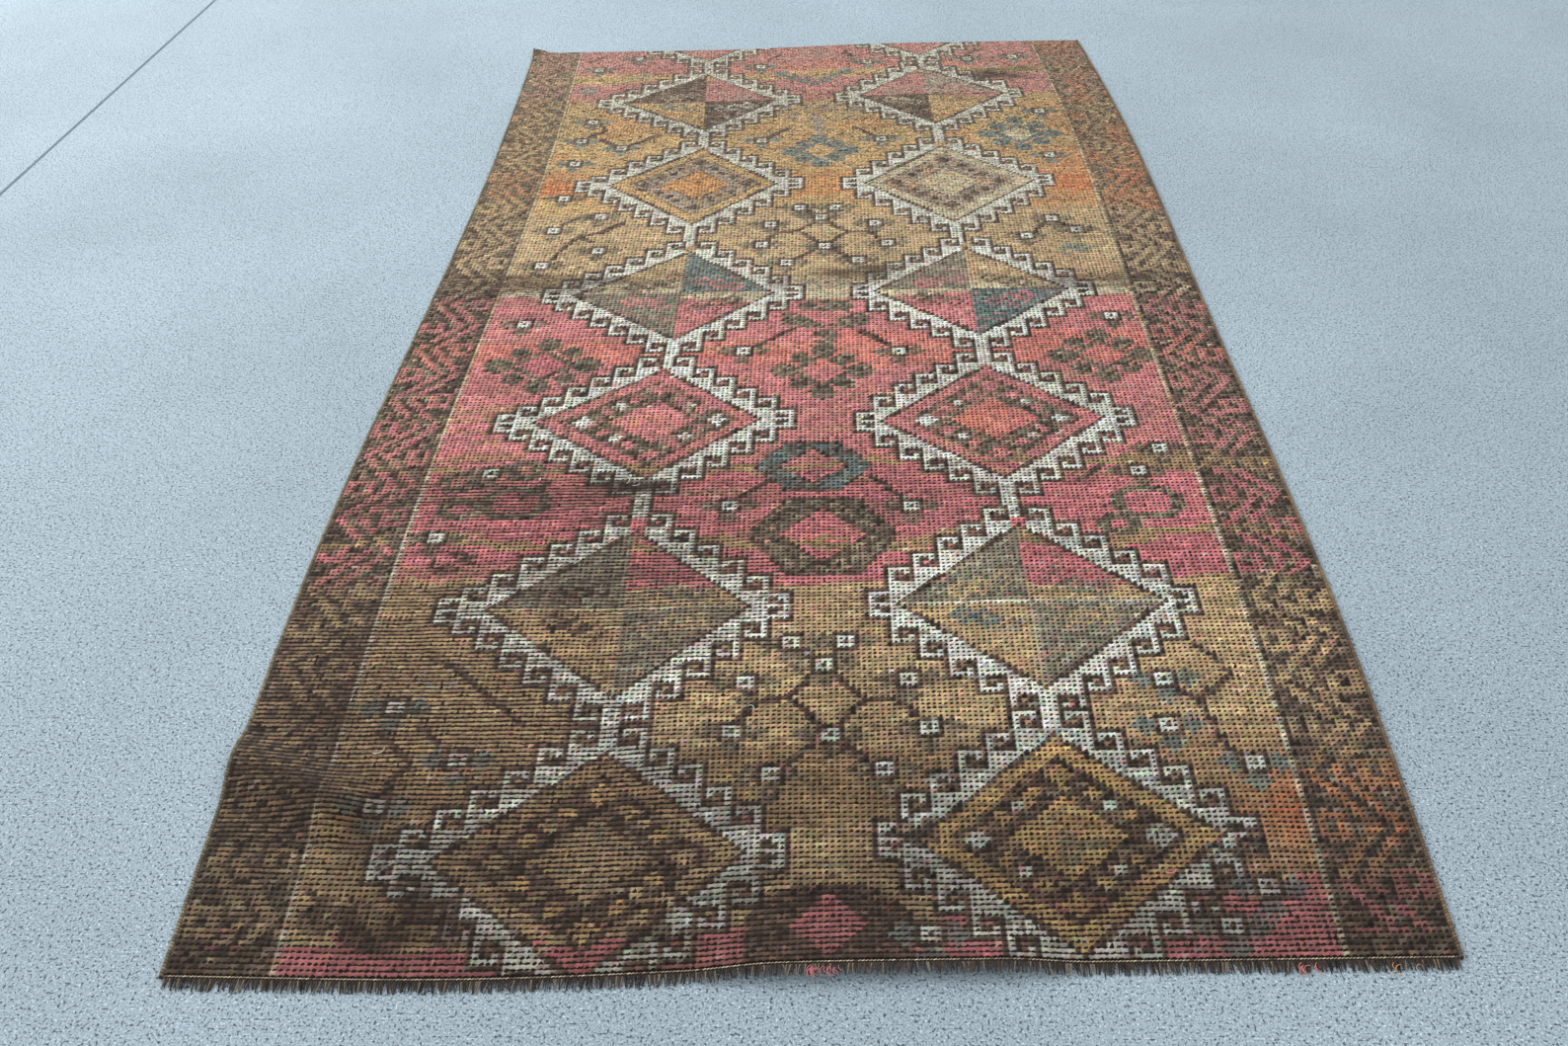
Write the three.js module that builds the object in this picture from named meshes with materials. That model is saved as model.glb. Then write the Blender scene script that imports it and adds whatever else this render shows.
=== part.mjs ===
// A hand-knotted wool rug, laid on a floor. Millimetres, +Z up, +Y along the rug from its front end to
// its back end. The origin is on the underside, at the middle of the flat rug. It is built up as a weaver
// builds it: a ground of warps and wefts, the knotted pile on it in a field, two guard stripes and two
// borders, an overcast selvedge down each side, a line of stitching that holds each end, and the warp ends
// past it as a short fringe.

import * as THREE from 'three';
import { mergeGeometries, mergeVertices } from 'three/addons/utils/BufferGeometryUtils.js';

// Flat sizes, before the rug is laid.
const LENGTH = 2206; // from the tips of one fringe to the tips of the other
const WIDTH = 1180; // over both selvedges, at the two ends
const BORDER_WIDTH = 96.5; // pile between a selvedge and its guard stripe
const GUARD_WIDTH = 6; // the light stripe, one knot wide, between a border and the field
const FRONT_FRINGE = 12;
const BACK_FRINGE = 5; // worn almost away
const END_STRIP = 3.4; // bare ground between a fringe and the first row of knots
const STITCH_WIDTH = 1.6;

// Thicknesses.
const GROUND_THICKNESS = 2.4;
const PILE_THICKNESS = 2.2; // worn low
const STITCH_THICKNESS = 1.1;
const FRINGE_THICKNESS = 1.6;
const SELVEDGE_DIAMETER = 5;
const SELVEDGE_WALL = 0.9; // the overcast yarn around the selvedge's core of bundled warps

// Clearance between pieces that touch.
const GAP = 0.3;

// How the laid rug departs from a rectangle: it is out of square, its sides bulge, the left half of its
// front end bows forwards, and the left half of its back end stops short. Each side's bulge is a sum of
// half waves: one along the whole rug, then two, then three.
const SKEW = 22; // its right side lies this much further back than its left
const LEFT_BULGE = [8, 13.7, 1.9];
const RIGHT_BULGE = [32.4, 0, 6];
const FRONT_BOW = 9;
const FRONT_BOW_AT = 0.23; // the bow's middle and half its width, as shares of the rug's width
const FRONT_BOW_REACH = 0.31;
const BACK_DIP = 24;
const BACK_DIP_FROM = 0.3; // it fades out between these shares of the width
const BACK_DIP_TO = 0.68;
const END_REACH = 0.33; // the share of the length over which each end's bow dies away

// Ripples: each is a crest from one point to another, its height, and how far it reaches to each side of
// the crest. Places are from the front left corner of the flat rug.
const RIPPLES = [
  { from: [-15, 262], to: [115, 200], height: 12, reach: 52 },
  { from: [560, -10], to: [760, -10], height: 9, reach: 90 },
  { from: [-40, LENGTH + 40], to: [0, LENGTH], height: 10, reach: 48 },
];

// Facets. The rippled part, from the front left corner, and the back corner have finer ones.
const COARSE_STEP = 180;
const FINE_STEP = 33;
const FINE_WIDTH = 860;
const FINE_LENGTH = 320;
const BACK_CORNER = 50;
const SELVEDGE_ROUND = 5; // in a half turn

const SIDE = WIDTH / 2;
const END = LENGTH / 2;

// Where each kind of piece starts and stops, from the rug's middle.
const groundSide = SIDE - SELVEDGE_DIAMETER - GAP;
const borderInner = SIDE - SELVEDGE_DIAMETER - BORDER_WIDTH;
const guardInner = borderInner - GUARD_WIDTH;
const pileLow = GROUND_THICKNESS + GAP;
const ends = {
  front: { sign: -1, ground: END - FRONT_FRINGE },
  back: { sign: 1, ground: END - BACK_FRINGE },
};
const groundLengths = [-ends.front.ground, ends.back.ground];
const pileLengths = [END_STRIP - ends.front.ground, ends.back.ground - END_STRIP];
const stitchLengths = Object.fromEntries(Object.entries(ends).map(([name, { sign, ground }]) => {
  const middle = sign * (ground - END_STRIP / 2);
  return [name, [middle - STITCH_WIDTH / 2, middle + STITCH_WIDTH / 2]];
}));

const smoothBump = (t) => (Math.abs(t) < 1 ? Math.cos((Math.PI / 2) * t) ** 2 : 0);
const halfWave = (number, share) => Math.sin(number * Math.PI * share);
const bulge = (waves, share) => waves.reduce((sum, size, i) => sum + size * halfWave(i + 1, share), 0);

// The height that the ripples lift a point of the flat rug by.
function rippleHeight(x, y) {
  const point = new THREE.Vector2(x + SIDE, y + END);
  let lift = 0;
  for (const { from, to, height, reach } of RIPPLES) {
    const start = new THREE.Vector2(...from);
    const along = new THREE.Vector2(...to).sub(start);
    const share = THREE.MathUtils.clamp(point.clone().sub(start).dot(along) / along.lengthSq(), 0, 1);
    const crest = start.add(along.multiplyScalar(share));
    lift = Math.max(lift, height * smoothBump(point.distanceTo(crest) / reach));
  }
  return lift;
}

// A point of the flat rug, moved to where it lies on the floor.
function lay(x, y, z) {
  const along = THREE.MathUtils.clamp(y / LENGTH + 0.5, 0, 1);
  const across = x / WIDTH + 0.5;
  const frontOut = FRONT_BOW * smoothBump((across - FRONT_BOW_AT) / FRONT_BOW_REACH);
  const backIn = BACK_DIP * (1 - THREE.MathUtils.smoothstep(across, BACK_DIP_FROM, BACK_DIP_TO));
  const ahead = frontOut * Math.max(0, 1 - along / END_REACH)
    + backIn * Math.max(0, 1 - (1 - along) / END_REACH);
  return new THREE.Vector3(
    x - bulge(LEFT_BULGE, along) * (1 - across) + bulge(RIGHT_BULGE, along) * across,
    y + SKEW * (across - 0.5) - ahead,
    z + rippleHeight(x, y),
  );
}

// Facet lines that every piece shares, so that stacked pieces have the same facets and keep their gap. Each
// band is a stretch and the size of its facets; a stop is a line that has to be there.
function facetLines(bands, stops) {
  const tooClose = FINE_STEP / 4;
  const lines = [bands[0][0]];
  for (const [from, to, step] of bands) {
    const count = Math.max(1, Math.round((to - from) / step));
    for (let i = 1; i <= count; i++) lines.push(from + ((to - from) * i) / count);
  }
  return lines
    .filter((line) => !stops.some((stop) => Math.abs(stop - line) < tooClose))
    .concat(stops)
    .sort((a, b) => a - b);
}

const fineX = -SIDE + FINE_WIDTH;
const fineY = -END + FINE_LENGTH;
const cornerY = END - BACK_CORNER;
const xLines = facetLines(
  [[-SIDE, fineX, FINE_STEP], [fineX, SIDE, COARSE_STEP]],
  [borderInner, guardInner].flatMap((x) => [-x, x]),
);
const yLines = facetLines(
  [[-END, fineY, FINE_STEP], [fineY, cornerY, COARSE_STEP], [cornerY, END, FINE_STEP]],
  [...pileLengths, ...stitchLengths.front, ...stitchLengths.back],
);

const linesBetween = (lines, low, high) => {
  const inside = lines.filter((line) => line > low + GAP && line < high - GAP);
  return [low, ...inside, high];
};

// A plane of cells with each of its points put in place. Seen from outside, columns run right and rows
// run down.
function skin(columns, rows, place) {
  const plane = new THREE.PlaneGeometry(1, 1, columns, rows);
  const points = plane.getAttribute('position');
  for (let row = 0; row <= rows; row++) {
    for (let column = 0; column <= columns; column++) {
      const { x, y, z } = place(column, row);
      points.setXYZ(row * (columns + 1) + column, x, y, z);
    }
  }
  return plane;
}

function turnedOver(geometry) {
  const index = geometry.getIndex();
  for (let i = 0; i < index.count; i += 3) {
    const second = index.getX(i + 1);
    index.setX(i + 1, index.getX(i + 2));
    index.setX(i + 2, second);
  }
  return geometry;
}

// Joins skins that meet into one closed surface, without the empty triangles of a skin drawn in to a point.
function closed(skins) {
  for (const piece of skins) {
    piece.deleteAttribute('normal');
    piece.deleteAttribute('uv');
  }
  const whole = mergeVertices(mergeGeometries(skins), 1e-4);
  const corners = Array.from(whole.getIndex().array);
  whole.setIndex(corners.filter((_, i) => {
    const start = i - (i % 3);
    return new Set(corners.slice(start, start + 3)).size === 3;
  }));
  whole.computeVertexNormals();
  return whole;
}

// A flat box of the rug from one corner to the other, with the shared facet lines, laid on the floor.
function slab([x0, x1], [y0, y1], [low, high]) {
  const xs = linesBetween(xLines, x0, x1);
  const ys = linesBetween(yLines, y0, y1);
  const columns = xs.length - 1;
  const rows = ys.length - 1;
  const face = (z) => skin(columns, rows, (i, j) => lay(xs[i], ys[rows - j], z));
  const edge = (count, place) => skin(count, 1, (i, j) => lay(...place(i), j ? low : high));
  return closed([
    face(high),
    turnedOver(face(low)),
    edge(columns, (i) => [xs[i], y0]),
    turnedOver(edge(columns, (i) => [xs[i], y1])),
    edge(rows, (i) => [x0, ys[rows - i]]),
    turnedOver(edge(rows, (i) => [x1, ys[rows - i]])),
  ]);
}

// A round cord down one side of the rug, hollow if it has a bore; side is -1 for the left and 1 for the right.
function sideCord(side, radius, bore = 0) {
  const centre = side * (SIDE - SELVEDGE_DIAMETER / 2);
  const ys = linesBetween(yLines, ...groundLengths);
  const rows = ys.length - 1;
  const columns = 2 * SELVEDGE_ROUND;
  const ring = (i, y, r) => {
    const angle = (-Math.PI * (i % columns)) / SELVEDGE_ROUND;
    return lay(centre + r * Math.cos(angle), y, SELVEDGE_DIAMETER / 2 + r * Math.sin(angle));
  };
  const wall = (r) => skin(columns, rows, (i, j) => ring(i, ys[rows - j], r));
  const tip = (y) => skin(columns, 1, (i, j) => ring(i, y, j ? bore : radius));
  const walls = bore ? [wall(radius), turnedOver(wall(bore))] : [wall(radius)];
  return closed([...walls, tip(ys[0]), turnedOver(tip(ys[rows]))]);
}

const materials = {
  ground: new THREE.MeshStandardMaterial({ color: 0x54463a, roughness: 0.95, metalness: 0 }),
  field: new THREE.MeshStandardMaterial({ color: 0xa8784f, roughness: 0.9, metalness: 0 }),
  border: new THREE.MeshStandardMaterial({ color: 0x6b5644, roughness: 0.9, metalness: 0 }),
  guard: new THREE.MeshStandardMaterial({ color: 0xc4b08e, roughness: 0.9, metalness: 0 }),
  selvedge: new THREE.MeshStandardMaterial({ color: 0x5b5140, roughness: 0.9, metalness: 0 }),
  stitching: new THREE.MeshStandardMaterial({ color: 0xb7a78e, roughness: 0.8, metalness: 0 }),
  fringe: new THREE.MeshStandardMaterial({ color: 0x4b4038, roughness: 0.95, metalness: 0 }),
};

const rug = new THREE.Group();

function add(name, geometry, material) {
  const mesh = new THREE.Mesh(geometry, materials[material]);
  mesh.name = name;
  rug.add(mesh);
}

const pileHeights = [pileLow, pileLow + PILE_THICKNESS];
const stitchHeights = [pileLow, pileLow + STITCH_THICKNESS];
const coreRadius = SELVEDGE_DIAMETER / 2 - SELVEDGE_WALL - GAP;
const sorted = (...values) => values.sort((a, b) => a - b);

add('ground_weave', slab([-groundSide, groundSide], groundLengths, [0, GROUND_THICKNESS]), 'ground');
add('field_pile', slab([-guardInner, guardInner], pileLengths, pileHeights), 'field');

for (const [name, side] of [['left', -1], ['right', 1]]) {
  const guard = sorted(side * (guardInner + GAP), side * (borderInner - GAP));
  const border = sorted(side * borderInner, side * groundSide);
  add(`${name}_guard_stripe`, slab(guard, pileLengths, pileHeights), 'guard');
  add(`${name}_border_pile`, slab(border, pileLengths, pileHeights), 'border');
  add(`${name}_selvedge_wrap`, sideCord(side, SELVEDGE_DIAMETER / 2, coreRadius + GAP), 'selvedge');
  add(`${name}_selvedge_core`, sideCord(side, coreRadius), 'ground');
}

for (const [name, { sign, ground }] of Object.entries(ends)) {
  const hanging = sorted(sign * (ground + GAP), sign * END);
  const sides = [-groundSide, groundSide];
  add(`${name}_end_stitching`, slab(sides, stitchLengths[name], stitchHeights), 'stitching');
  add(`${name}_fringe`, slab(sides, hanging, [0, FRINGE_THICKNESS]), 'fringe');
}

export default rug;
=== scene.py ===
"""A worn hand-knotted wool rug, laid on a concrete floor.

The rug is built as a weaver builds it. KnotChart says what yarn each knot is tied in, LaidRug says where a
point of the flat rug lies on the floor, and the other classes make the pieces: the knotted pile, the ground
weave under it, the overcast selvedges, the stitched ends, the fringes and a few loose threads. Lengths are in
metres.
"""

import logging
import math
from dataclasses import dataclass
from enum import Enum
from typing import Callable, Sequence

import bpy
import numpy as np
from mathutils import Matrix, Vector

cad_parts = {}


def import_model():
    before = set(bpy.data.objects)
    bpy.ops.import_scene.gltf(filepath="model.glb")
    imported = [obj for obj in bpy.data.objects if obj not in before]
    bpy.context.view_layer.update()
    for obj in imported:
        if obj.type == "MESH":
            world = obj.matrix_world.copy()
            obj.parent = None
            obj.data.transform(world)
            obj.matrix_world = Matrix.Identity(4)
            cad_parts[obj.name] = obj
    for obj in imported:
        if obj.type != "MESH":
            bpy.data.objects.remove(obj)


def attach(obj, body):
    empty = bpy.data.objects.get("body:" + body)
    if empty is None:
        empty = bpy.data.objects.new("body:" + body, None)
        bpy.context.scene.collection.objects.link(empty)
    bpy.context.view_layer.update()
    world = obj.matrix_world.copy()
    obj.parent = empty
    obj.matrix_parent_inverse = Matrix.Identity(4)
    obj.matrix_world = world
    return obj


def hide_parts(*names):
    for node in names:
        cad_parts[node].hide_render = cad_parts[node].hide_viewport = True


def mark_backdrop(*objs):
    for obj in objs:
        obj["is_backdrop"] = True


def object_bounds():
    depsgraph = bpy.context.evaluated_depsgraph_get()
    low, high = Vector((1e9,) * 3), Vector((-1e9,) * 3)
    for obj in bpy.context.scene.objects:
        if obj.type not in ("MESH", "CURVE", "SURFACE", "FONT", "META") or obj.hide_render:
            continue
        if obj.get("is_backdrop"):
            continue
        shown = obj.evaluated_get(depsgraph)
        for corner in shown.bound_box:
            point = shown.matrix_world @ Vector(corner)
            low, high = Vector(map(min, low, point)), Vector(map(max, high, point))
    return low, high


log = logging.getLogger("rug")

MM = 0.001
ROOT = "root"
Place = tuple[float, float]
Array = np.ndarray
Thing = bpy.types.Object
Socket = bpy.types.NodeSocket
Surface = tuple[Array, Array, Array, Array]


# ----------------------------------------------------------------------------
# Yarns and colours
# ----------------------------------------------------------------------------


class Yarn(Enum):
    """The dyed yarns, as red, green and blue on a screen, from 0 to 255."""

    ROSE = (205, 129, 126)
    CRIMSON = (203, 119, 122)
    SALMON = (216, 130, 117)
    CAMEL = (194, 164, 122)
    GOLD = (208, 168, 112)
    ORANGE = (214, 148, 90)
    RED_ORANGE = (200, 102, 64)
    BEIGE = (206, 190, 156)
    TAN = (170, 138, 100)
    IVORY = (222, 222, 208)
    BARK = (86, 67, 56)
    OLIVE = (110, 99, 82)
    DRAB = (136, 128, 110)
    SLATE = (108, 122, 118)
    MAUVE = (170, 152, 136)
    # Painted shade: the ground weave as it looks deep in the gaps between knots, far darker than the cloth's
    # own colour; also used for stains and hidden undersides.
    GROUND = (34, 24, 18)
    STRAW = (168, 158, 128)
    MOSS = (112, 100, 78)
    FAWN = (160, 128, 94)
    PEAT = (104, 84, 64)
    THREAD = (196, 184, 160)
    DIRTY_THREAD = (92, 84, 72)
    WARP = (64, 52, 44)
    PALE_WARP = (132, 118, 100)

    @property
    def screen(self) -> Array:
        """The colour as three numbers from 0 to 1."""
        return np.array(self.value, float) / 255


def to_linear(screen: Array) -> Array:
    """Turns screen colours into the linear light that materials work in.

    Args:
        screen: Colours from 0 to 1, in an array of any shape.

    Returns:
        The same colours, linear, in the same shape.
    """
    screen = np.clip(screen, 0, 1)
    return np.where(screen <= 0.04045, screen / 12.92, ((screen + 0.055) / 1.055) ** 2.4)


def linear_rgba(screen: Sequence[float]) -> tuple[float, float, float, float]:
    """One screen colour from 0 to 255 as a material socket's linear value."""
    red, green, blue = to_linear(np.array(screen, float) / 255)
    return (float(red), float(green), float(blue), 1.0)


def cloudy(shape: tuple[int, int], cell: tuple[float, float], rng: np.random.Generator) -> Array:
    """Makes smooth random clouds between -1 and 1.

    Args:
        shape: Rows and columns of the array.
        cell: How many rows and columns one cloud covers.
        rng: Where the randomness comes from.

    Returns:
        An array of the shape asked for.
    """
    rows = np.arange(shape[0]) / cell[0]
    columns = np.arange(shape[1]) / cell[1]
    knots = rng.uniform(-1, 1, (int(rows[-1]) + 2, int(columns[-1]) + 2))
    r0, c0 = rows.astype(int), columns.astype(int)
    fr, fc = rows - r0, columns - c0
    fr = (fr * fr * (3 - 2 * fr))[:, None]
    fc = (fc * fc * (3 - 2 * fc))[None, :]
    near = knots[r0][:, c0] * (1 - fc) + knots[r0][:, c0 + 1] * fc
    far = knots[r0 + 1][:, c0] * (1 - fc) + knots[r0 + 1][:, c0 + 1] * fc
    return near * (1 - fr) + far * fr


def away_from_line(x: Array, y: Array, start: Place, stop: Place) -> Array:
    """How far each place is from a straight line between two others.

    Args:
        x: The places across.
        y: The places along.
        start: One end of the line.
        stop: Its other end.

    Returns:
        The distances.
    """
    dx, dy = stop[0] - start[0], stop[1] - start[1]
    share = np.clip(((x - start[0]) * dx + (y - start[1]) * dy) / (dx * dx + dy * dy), 0, 1)
    return np.hypot(x - start[0] - share * dx, y - start[1] - share * dy)


# ----------------------------------------------------------------------------
# Where the rug lies
# ----------------------------------------------------------------------------


@dataclass(frozen=True)
class Ripple:
    """A crest that lifts the rug off the floor, in metres from the front left corner of the flat rug."""

    start: Place
    stop: Place
    height: float
    reach: float


@dataclass(frozen=True)
class LaidRug:
    """The rug's flat sizes, and how it departs from a flat rectangle where it lies."""

    length: float = 2206 * MM
    width: float = 1180 * MM
    front_fringe: float = 12 * MM
    back_fringe: float = 5 * MM
    end_strip: float = 3.4 * MM
    selvedge: float = 5 * MM
    ground_thickness: float = 2.4 * MM
    gap: float = 0.3 * MM
    skew: float = 22 * MM
    left_bulge: tuple[float, ...] = (8 * MM, 13.7 * MM, 1.9 * MM)
    right_bulge: tuple[float, ...] = (32.4 * MM, 0.0, 6 * MM)
    front_bow: float = 9 * MM
    front_bow_at: float = 0.23
    front_bow_reach: float = 0.31
    back_dip: float = 24 * MM
    back_dip_from: float = 0.3
    back_dip_to: float = 0.68
    end_reach: float = 0.33
    ripples: tuple[Ripple, ...] = (
        Ripple((-0.015, 0.262), (0.115, 0.200), 12 * MM, 0.052),
        Ripple((0.560, -0.010), (0.760, -0.010), 9 * MM, 0.090),
        Ripple((-0.040, 2.246), (0.0, 2.206), 10 * MM, 0.048),
    )

    @property
    def front(self) -> float:
        """Where the ground weave starts, at the front end."""
        return -self.length / 2 + self.front_fringe

    @property
    def back(self) -> float:
        """Where the ground weave stops, at the back end."""
        return self.length / 2 - self.back_fringe

    @property
    def side(self) -> float:
        """How far the ground weave and the pile reach from the middle."""
        return self.width / 2 - self.selvedge - self.gap

    @property
    def pile_low(self) -> float:
        """The height of the pile's underside."""
        return self.ground_thickness + self.gap

    @staticmethod
    def bump(share: Array) -> Array:
        """A smooth hump that is 1 at 0 and runs out at 1."""
        return np.where(np.abs(share) < 1, np.cos(math.pi / 2 * share) ** 2, 0.0)

    def lift(self, x: Array, y: Array) -> Array:
        """The height that the ripples lift points of the flat rug by.

        Args:
            x: Places across the flat rug.
            y: Places along the flat rug.

        Returns:
            The lift of each place.
        """
        across = x + self.width / 2
        along = y + self.length / 2
        highest = np.zeros(np.broadcast(x, y).shape)
        for ripple in self.ripples:
            away = away_from_line(across, along, ripple.start, ripple.stop)
            highest = np.maximum(highest, ripple.height * self.bump(away / ripple.reach))
        return highest

    def lay(self, x: Array, y: Array, z: Array) -> Array:
        """Moves points of the flat rug to where they lie on the floor.

        Args:
            x: Places across the flat rug.
            y: Places along the flat rug.
            z: Heights in the flat rug.

        Returns:
            The points, with x, y and z along the last axis.
        """
        x, y, z = np.broadcast_arrays(np.asarray(x, float), np.asarray(y, float), np.asarray(z, float))
        along = np.clip(y / self.length + 0.5, 0, 1)
        across = x / self.width + 0.5
        dip = np.clip((across - self.back_dip_from) / (self.back_dip_to - self.back_dip_from), 0, 1)
        dip = self.back_dip * (1 - dip * dip * (3 - 2 * dip))
        bow = self.front_bow * self.bump((across - self.front_bow_at) / self.front_bow_reach)
        ahead = bow * np.maximum(0, 1 - along / self.end_reach)
        ahead = ahead + dip * np.maximum(0, 1 - (1 - along) / self.end_reach)
        left = sum(size * np.sin((i + 1) * math.pi * along) for i, size in enumerate(self.left_bulge))
        right = sum(size * np.sin((i + 1) * math.pi * along) for i, size in enumerate(self.right_bulge))
        return np.stack(
            [
                x - left * (1 - across) + right * across,
                y + self.skew * (across - 0.5) - ahead,
                z + self.lift(x, y),
            ],
            axis=-1,
        )


# ----------------------------------------------------------------------------
# The knot chart
# ----------------------------------------------------------------------------


class Filling(Enum):
    """How a diamond is filled."""

    QUARTERED = "quartered"
    NESTED = "nested"


@dataclass(frozen=True)
class Diamond:
    """A hooked diamond of the field, placed and sized in knots.

    A quartered one has its yarns in the order back left, back right, front left, front right. A nested one
    has them from the outside in, and the last is for its stars. None stands for the field's own yarn at that
    row.
    """

    column: int
    row: int
    left: int
    right: int
    height: int
    filling: Filling
    yarns: tuple[Yarn | None, ...]
    accents: tuple[Yarn | None, ...] = ()
    divider: Yarn | None = None


@dataclass(frozen=True)
class Patch:
    """A place where the pile is worn or stained, as an oval in knots."""

    column: float
    row: float
    wide: float
    deep: float
    strength: float


@dataclass(frozen=True)
class Stripe:
    """A stretch of the field's ground in one dye lot, from this row back to the next stripe."""

    row: float
    yarn: Yarn


def yarns(names: str) -> tuple[Yarn | None, ...]:
    """The yarns of a row of names, where OWN is the field's own."""
    return tuple(None if name == "OWN" else Yarn[name] for name in names.split())


STRIPES = (
    Stripe(0, Yarn.CRIMSON),
    Stripe(8, Yarn.CAMEL),
    Stripe(30, Yarn.TAN),
    Stripe(46, Yarn.CAMEL),
    Stripe(70, Yarn.CAMEL),
    Stripe(89, Yarn.CRIMSON),
    Stripe(100, Yarn.TAN),
    Stripe(103, Yarn.CRIMSON),
    Stripe(125, Yarn.TAN),
    Stripe(128, Yarn.ROSE),
    Stripe(167, Yarn.SALMON),
    Stripe(179, Yarn.ROSE),
    Stripe(199, Yarn.BEIGE),
    Stripe(207, Yarn.CAMEL),
    Stripe(247, Yarn.GOLD),
    Stripe(258, Yarn.ORANGE),
    Stripe(268, Yarn.GOLD),
    Stripe(328, Yarn.ROSE),
    Stripe(346, Yarn.GOLD),
    Stripe(353, Yarn.SALMON),
    Stripe(359, Yarn.ROSE),
)

LEFT_AXIS = 62
RIGHT_AXIS = 137
MIDDLE = 99

QUARTERED, NESTED = Filling.QUARTERED, Filling.NESTED

DIAMONDS = (
    Diamond(LEFT_AXIS, 384, 27, 23, 23, QUARTERED, yarns("OWN OWN OWN OWN")),
    Diamond(RIGHT_AXIS - 1, 383, 25, 24, 23, QUARTERED, yarns("OWN OWN OWN OWN")),
    Diamond(
        LEFT_AXIS, 324, 27, 23, 23, QUARTERED,
        yarns("BARK OWN OWN BARK"), yarns("MAUVE MAUVE SLATE IVORY"), Yarn.BARK,
    ),
    Diamond(
        RIGHT_AXIS - 2, 325, 23, 25, 23, QUARTERED,
        yarns("OWN MAUVE BARK OWN"), yarns("MAUVE ROSE BEIGE TAN"), Yarn.BARK,
    ),
    Diamond(LEFT_AXIS, 261, 26, 23, 25, NESTED, yarns("GOLD MAUVE ORANGE BARK")),
    Diamond(RIGHT_AXIS - 2, 260, 24, 25, 25, NESTED, yarns("BEIGE MAUVE BEIGE BARK")),
    Diamond(
        LEFT_AXIS + 1, 197, 28, 23, 22, QUARTERED,
        yarns("OWN SLATE DRAB OWN"), yarns("OLIVE ROSE ROSE OLIVE"),
    ),
    Diamond(
        RIGHT_AXIS, 197, 25, 24, 22, QUARTERED,
        yarns("DRAB OWN OWN SLATE"), yarns("ROSE OLIVE OLIVE ROSE"),
    ),
    Diamond(LEFT_AXIS, 140, 27, 23, 21, NESTED, yarns("OWN OLIVE OWN IVORY"), yarns("ROSE")),
    Diamond(RIGHT_AXIS, 139, 25, 24, 22, NESTED, yarns("OWN OLIVE SALMON IVORY"), yarns("ROSE")),
    Diamond(
        LEFT_AXIS, 78, 26, 23, 23, QUARTERED,
        yarns("DRAB OWN OWN DRAB"), yarns("BARK DRAB BARK CAMEL"), Yarn.BEIGE,
    ),
    Diamond(
        RIGHT_AXIS + 1, 78, 25, 25, 23, QUARTERED,
        yarns("DRAB OWN OWN DRAB"), yarns("CAMEL DRAB SLATE CAMEL"), Yarn.IVORY,
    ),
    Diamond(LEFT_AXIS, 20, 26, 24, 22, NESTED, yarns("OWN BARK OWN CAMEL"), yarns("GOLD")),
    Diamond(RIGHT_AXIS + 1, 22, 24, 25, 22, NESTED, yarns("GOLD BARK GOLD IVORY"), yarns("GOLD")),
)

NET = (
    ((0, 8), (-6, 0), (1, -9)), ((0, 8), (7, -1), (1, -9)), ((-6, 0), (-12, -1)), ((7, -1), (13, -1)),
    ((-14, 4), (-12, -1), (-16, -8)), ((15, 4), (13, -1), (18, -8)), ((-6, 14), (0, 8), (4, 14)),
    ((-9, -18), (1, -9), (10, -18)),
)
NET_SQUARES = (
    (0, 8), (1, -9), (-14, 4), (-16, -8), (15, 4), (18, -8), (-6, 14), (4, 14), (-9, -18), (10, -17),
)

TWIGS = (
    ((30, 241), (26, 236)), ((43, 237), (37, 231), (31, 229), (28, 221), (26, 215)), ((31, 229), (36, 226)),
    ((162, 235), (158, 231), (156, 227)), ((162, 235), (166, 231)),
    ((28, 65), (34, 62), (40, 55), (47, 49)), ((21, 48), (26, 44), (29, 40), (27, 37), (26, 33)),
    ((29, 49), (33, 44)), ((18, 14), (26, 9), (31, 4)), ((33, 8), (38, 12)),
    ((166, 66), (169, 62), (171, 58), (169, 55), (164, 52), (160, 55)),
    ((164, 52), (166, 45), (167, 40), (170, 38)), ((26, 297), (31, 302), (28, 308)),
    ((30, 295), (36, 289)), ((40, 290), (48, 298)), ((163, 314), (167, 311)),
    ((82, 294), (89, 301)), ((109, 301), (115, 293)), ((92, 179), (83, 171)), ((108, 178), (115, 171)),
    ((88, 117), (81, 111)), ((109, 119), (116, 110)), ((42, 118), (37, 112)), ((152, 116), (158, 121)),
    ((20, 361), (25, 367)), ((152, 359), (157, 364)), ((83, 360), (87, 365)), ((113, 360), (109, 364)),
    ((157, 8), (162, 13), (160, 17)), ((75, 14), (79, 9)),
)
SQUARES = (
    (80, 354), (117, 355), (24, 354), (37, 364), (152, 356), (168, 357), (80, 292), (117, 291), (24, 294),
    (37, 288), (24, 277), (26, 309), (169, 310), (167, 277), (24, 253), (24, 233), (36, 241), (38, 221),
    (24, 213), (162, 236), (168, 229), (154, 226), (25, 183), (80, 169), (117, 168), (170, 183),
    (80, 109), (117, 108), (165, 119), (171, 127), (24, 53), (37, 41), (25, 31), (159, 57), (158, 46),
    (171, 37), (168, 12), (161, 5), (115, 4), (22, 100), (29, 121),
)

WEAR = (
    Patch(22, 52, 52, 40, 0.75),
    Patch(52, 24, 46, 26, 0.55),
    Patch(60, 82, 44, 26, 0.5),
    Patch(22, 202, 44, 6, 0.8),
    Patch(172, 202, 26, 4, 0.7),
    Patch(100, 203, 22, 4, 0.45),
    Patch(40, 113, 34, 11, 0.75),
    Patch(100, 40, 30, 34, 0.2),
    Patch(8, 36, 12, 9, 0.6),
    Patch(97, 4, 130, 20, 0.5),
    Patch(105, 112, 60, 16, 0.3),
)

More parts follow.
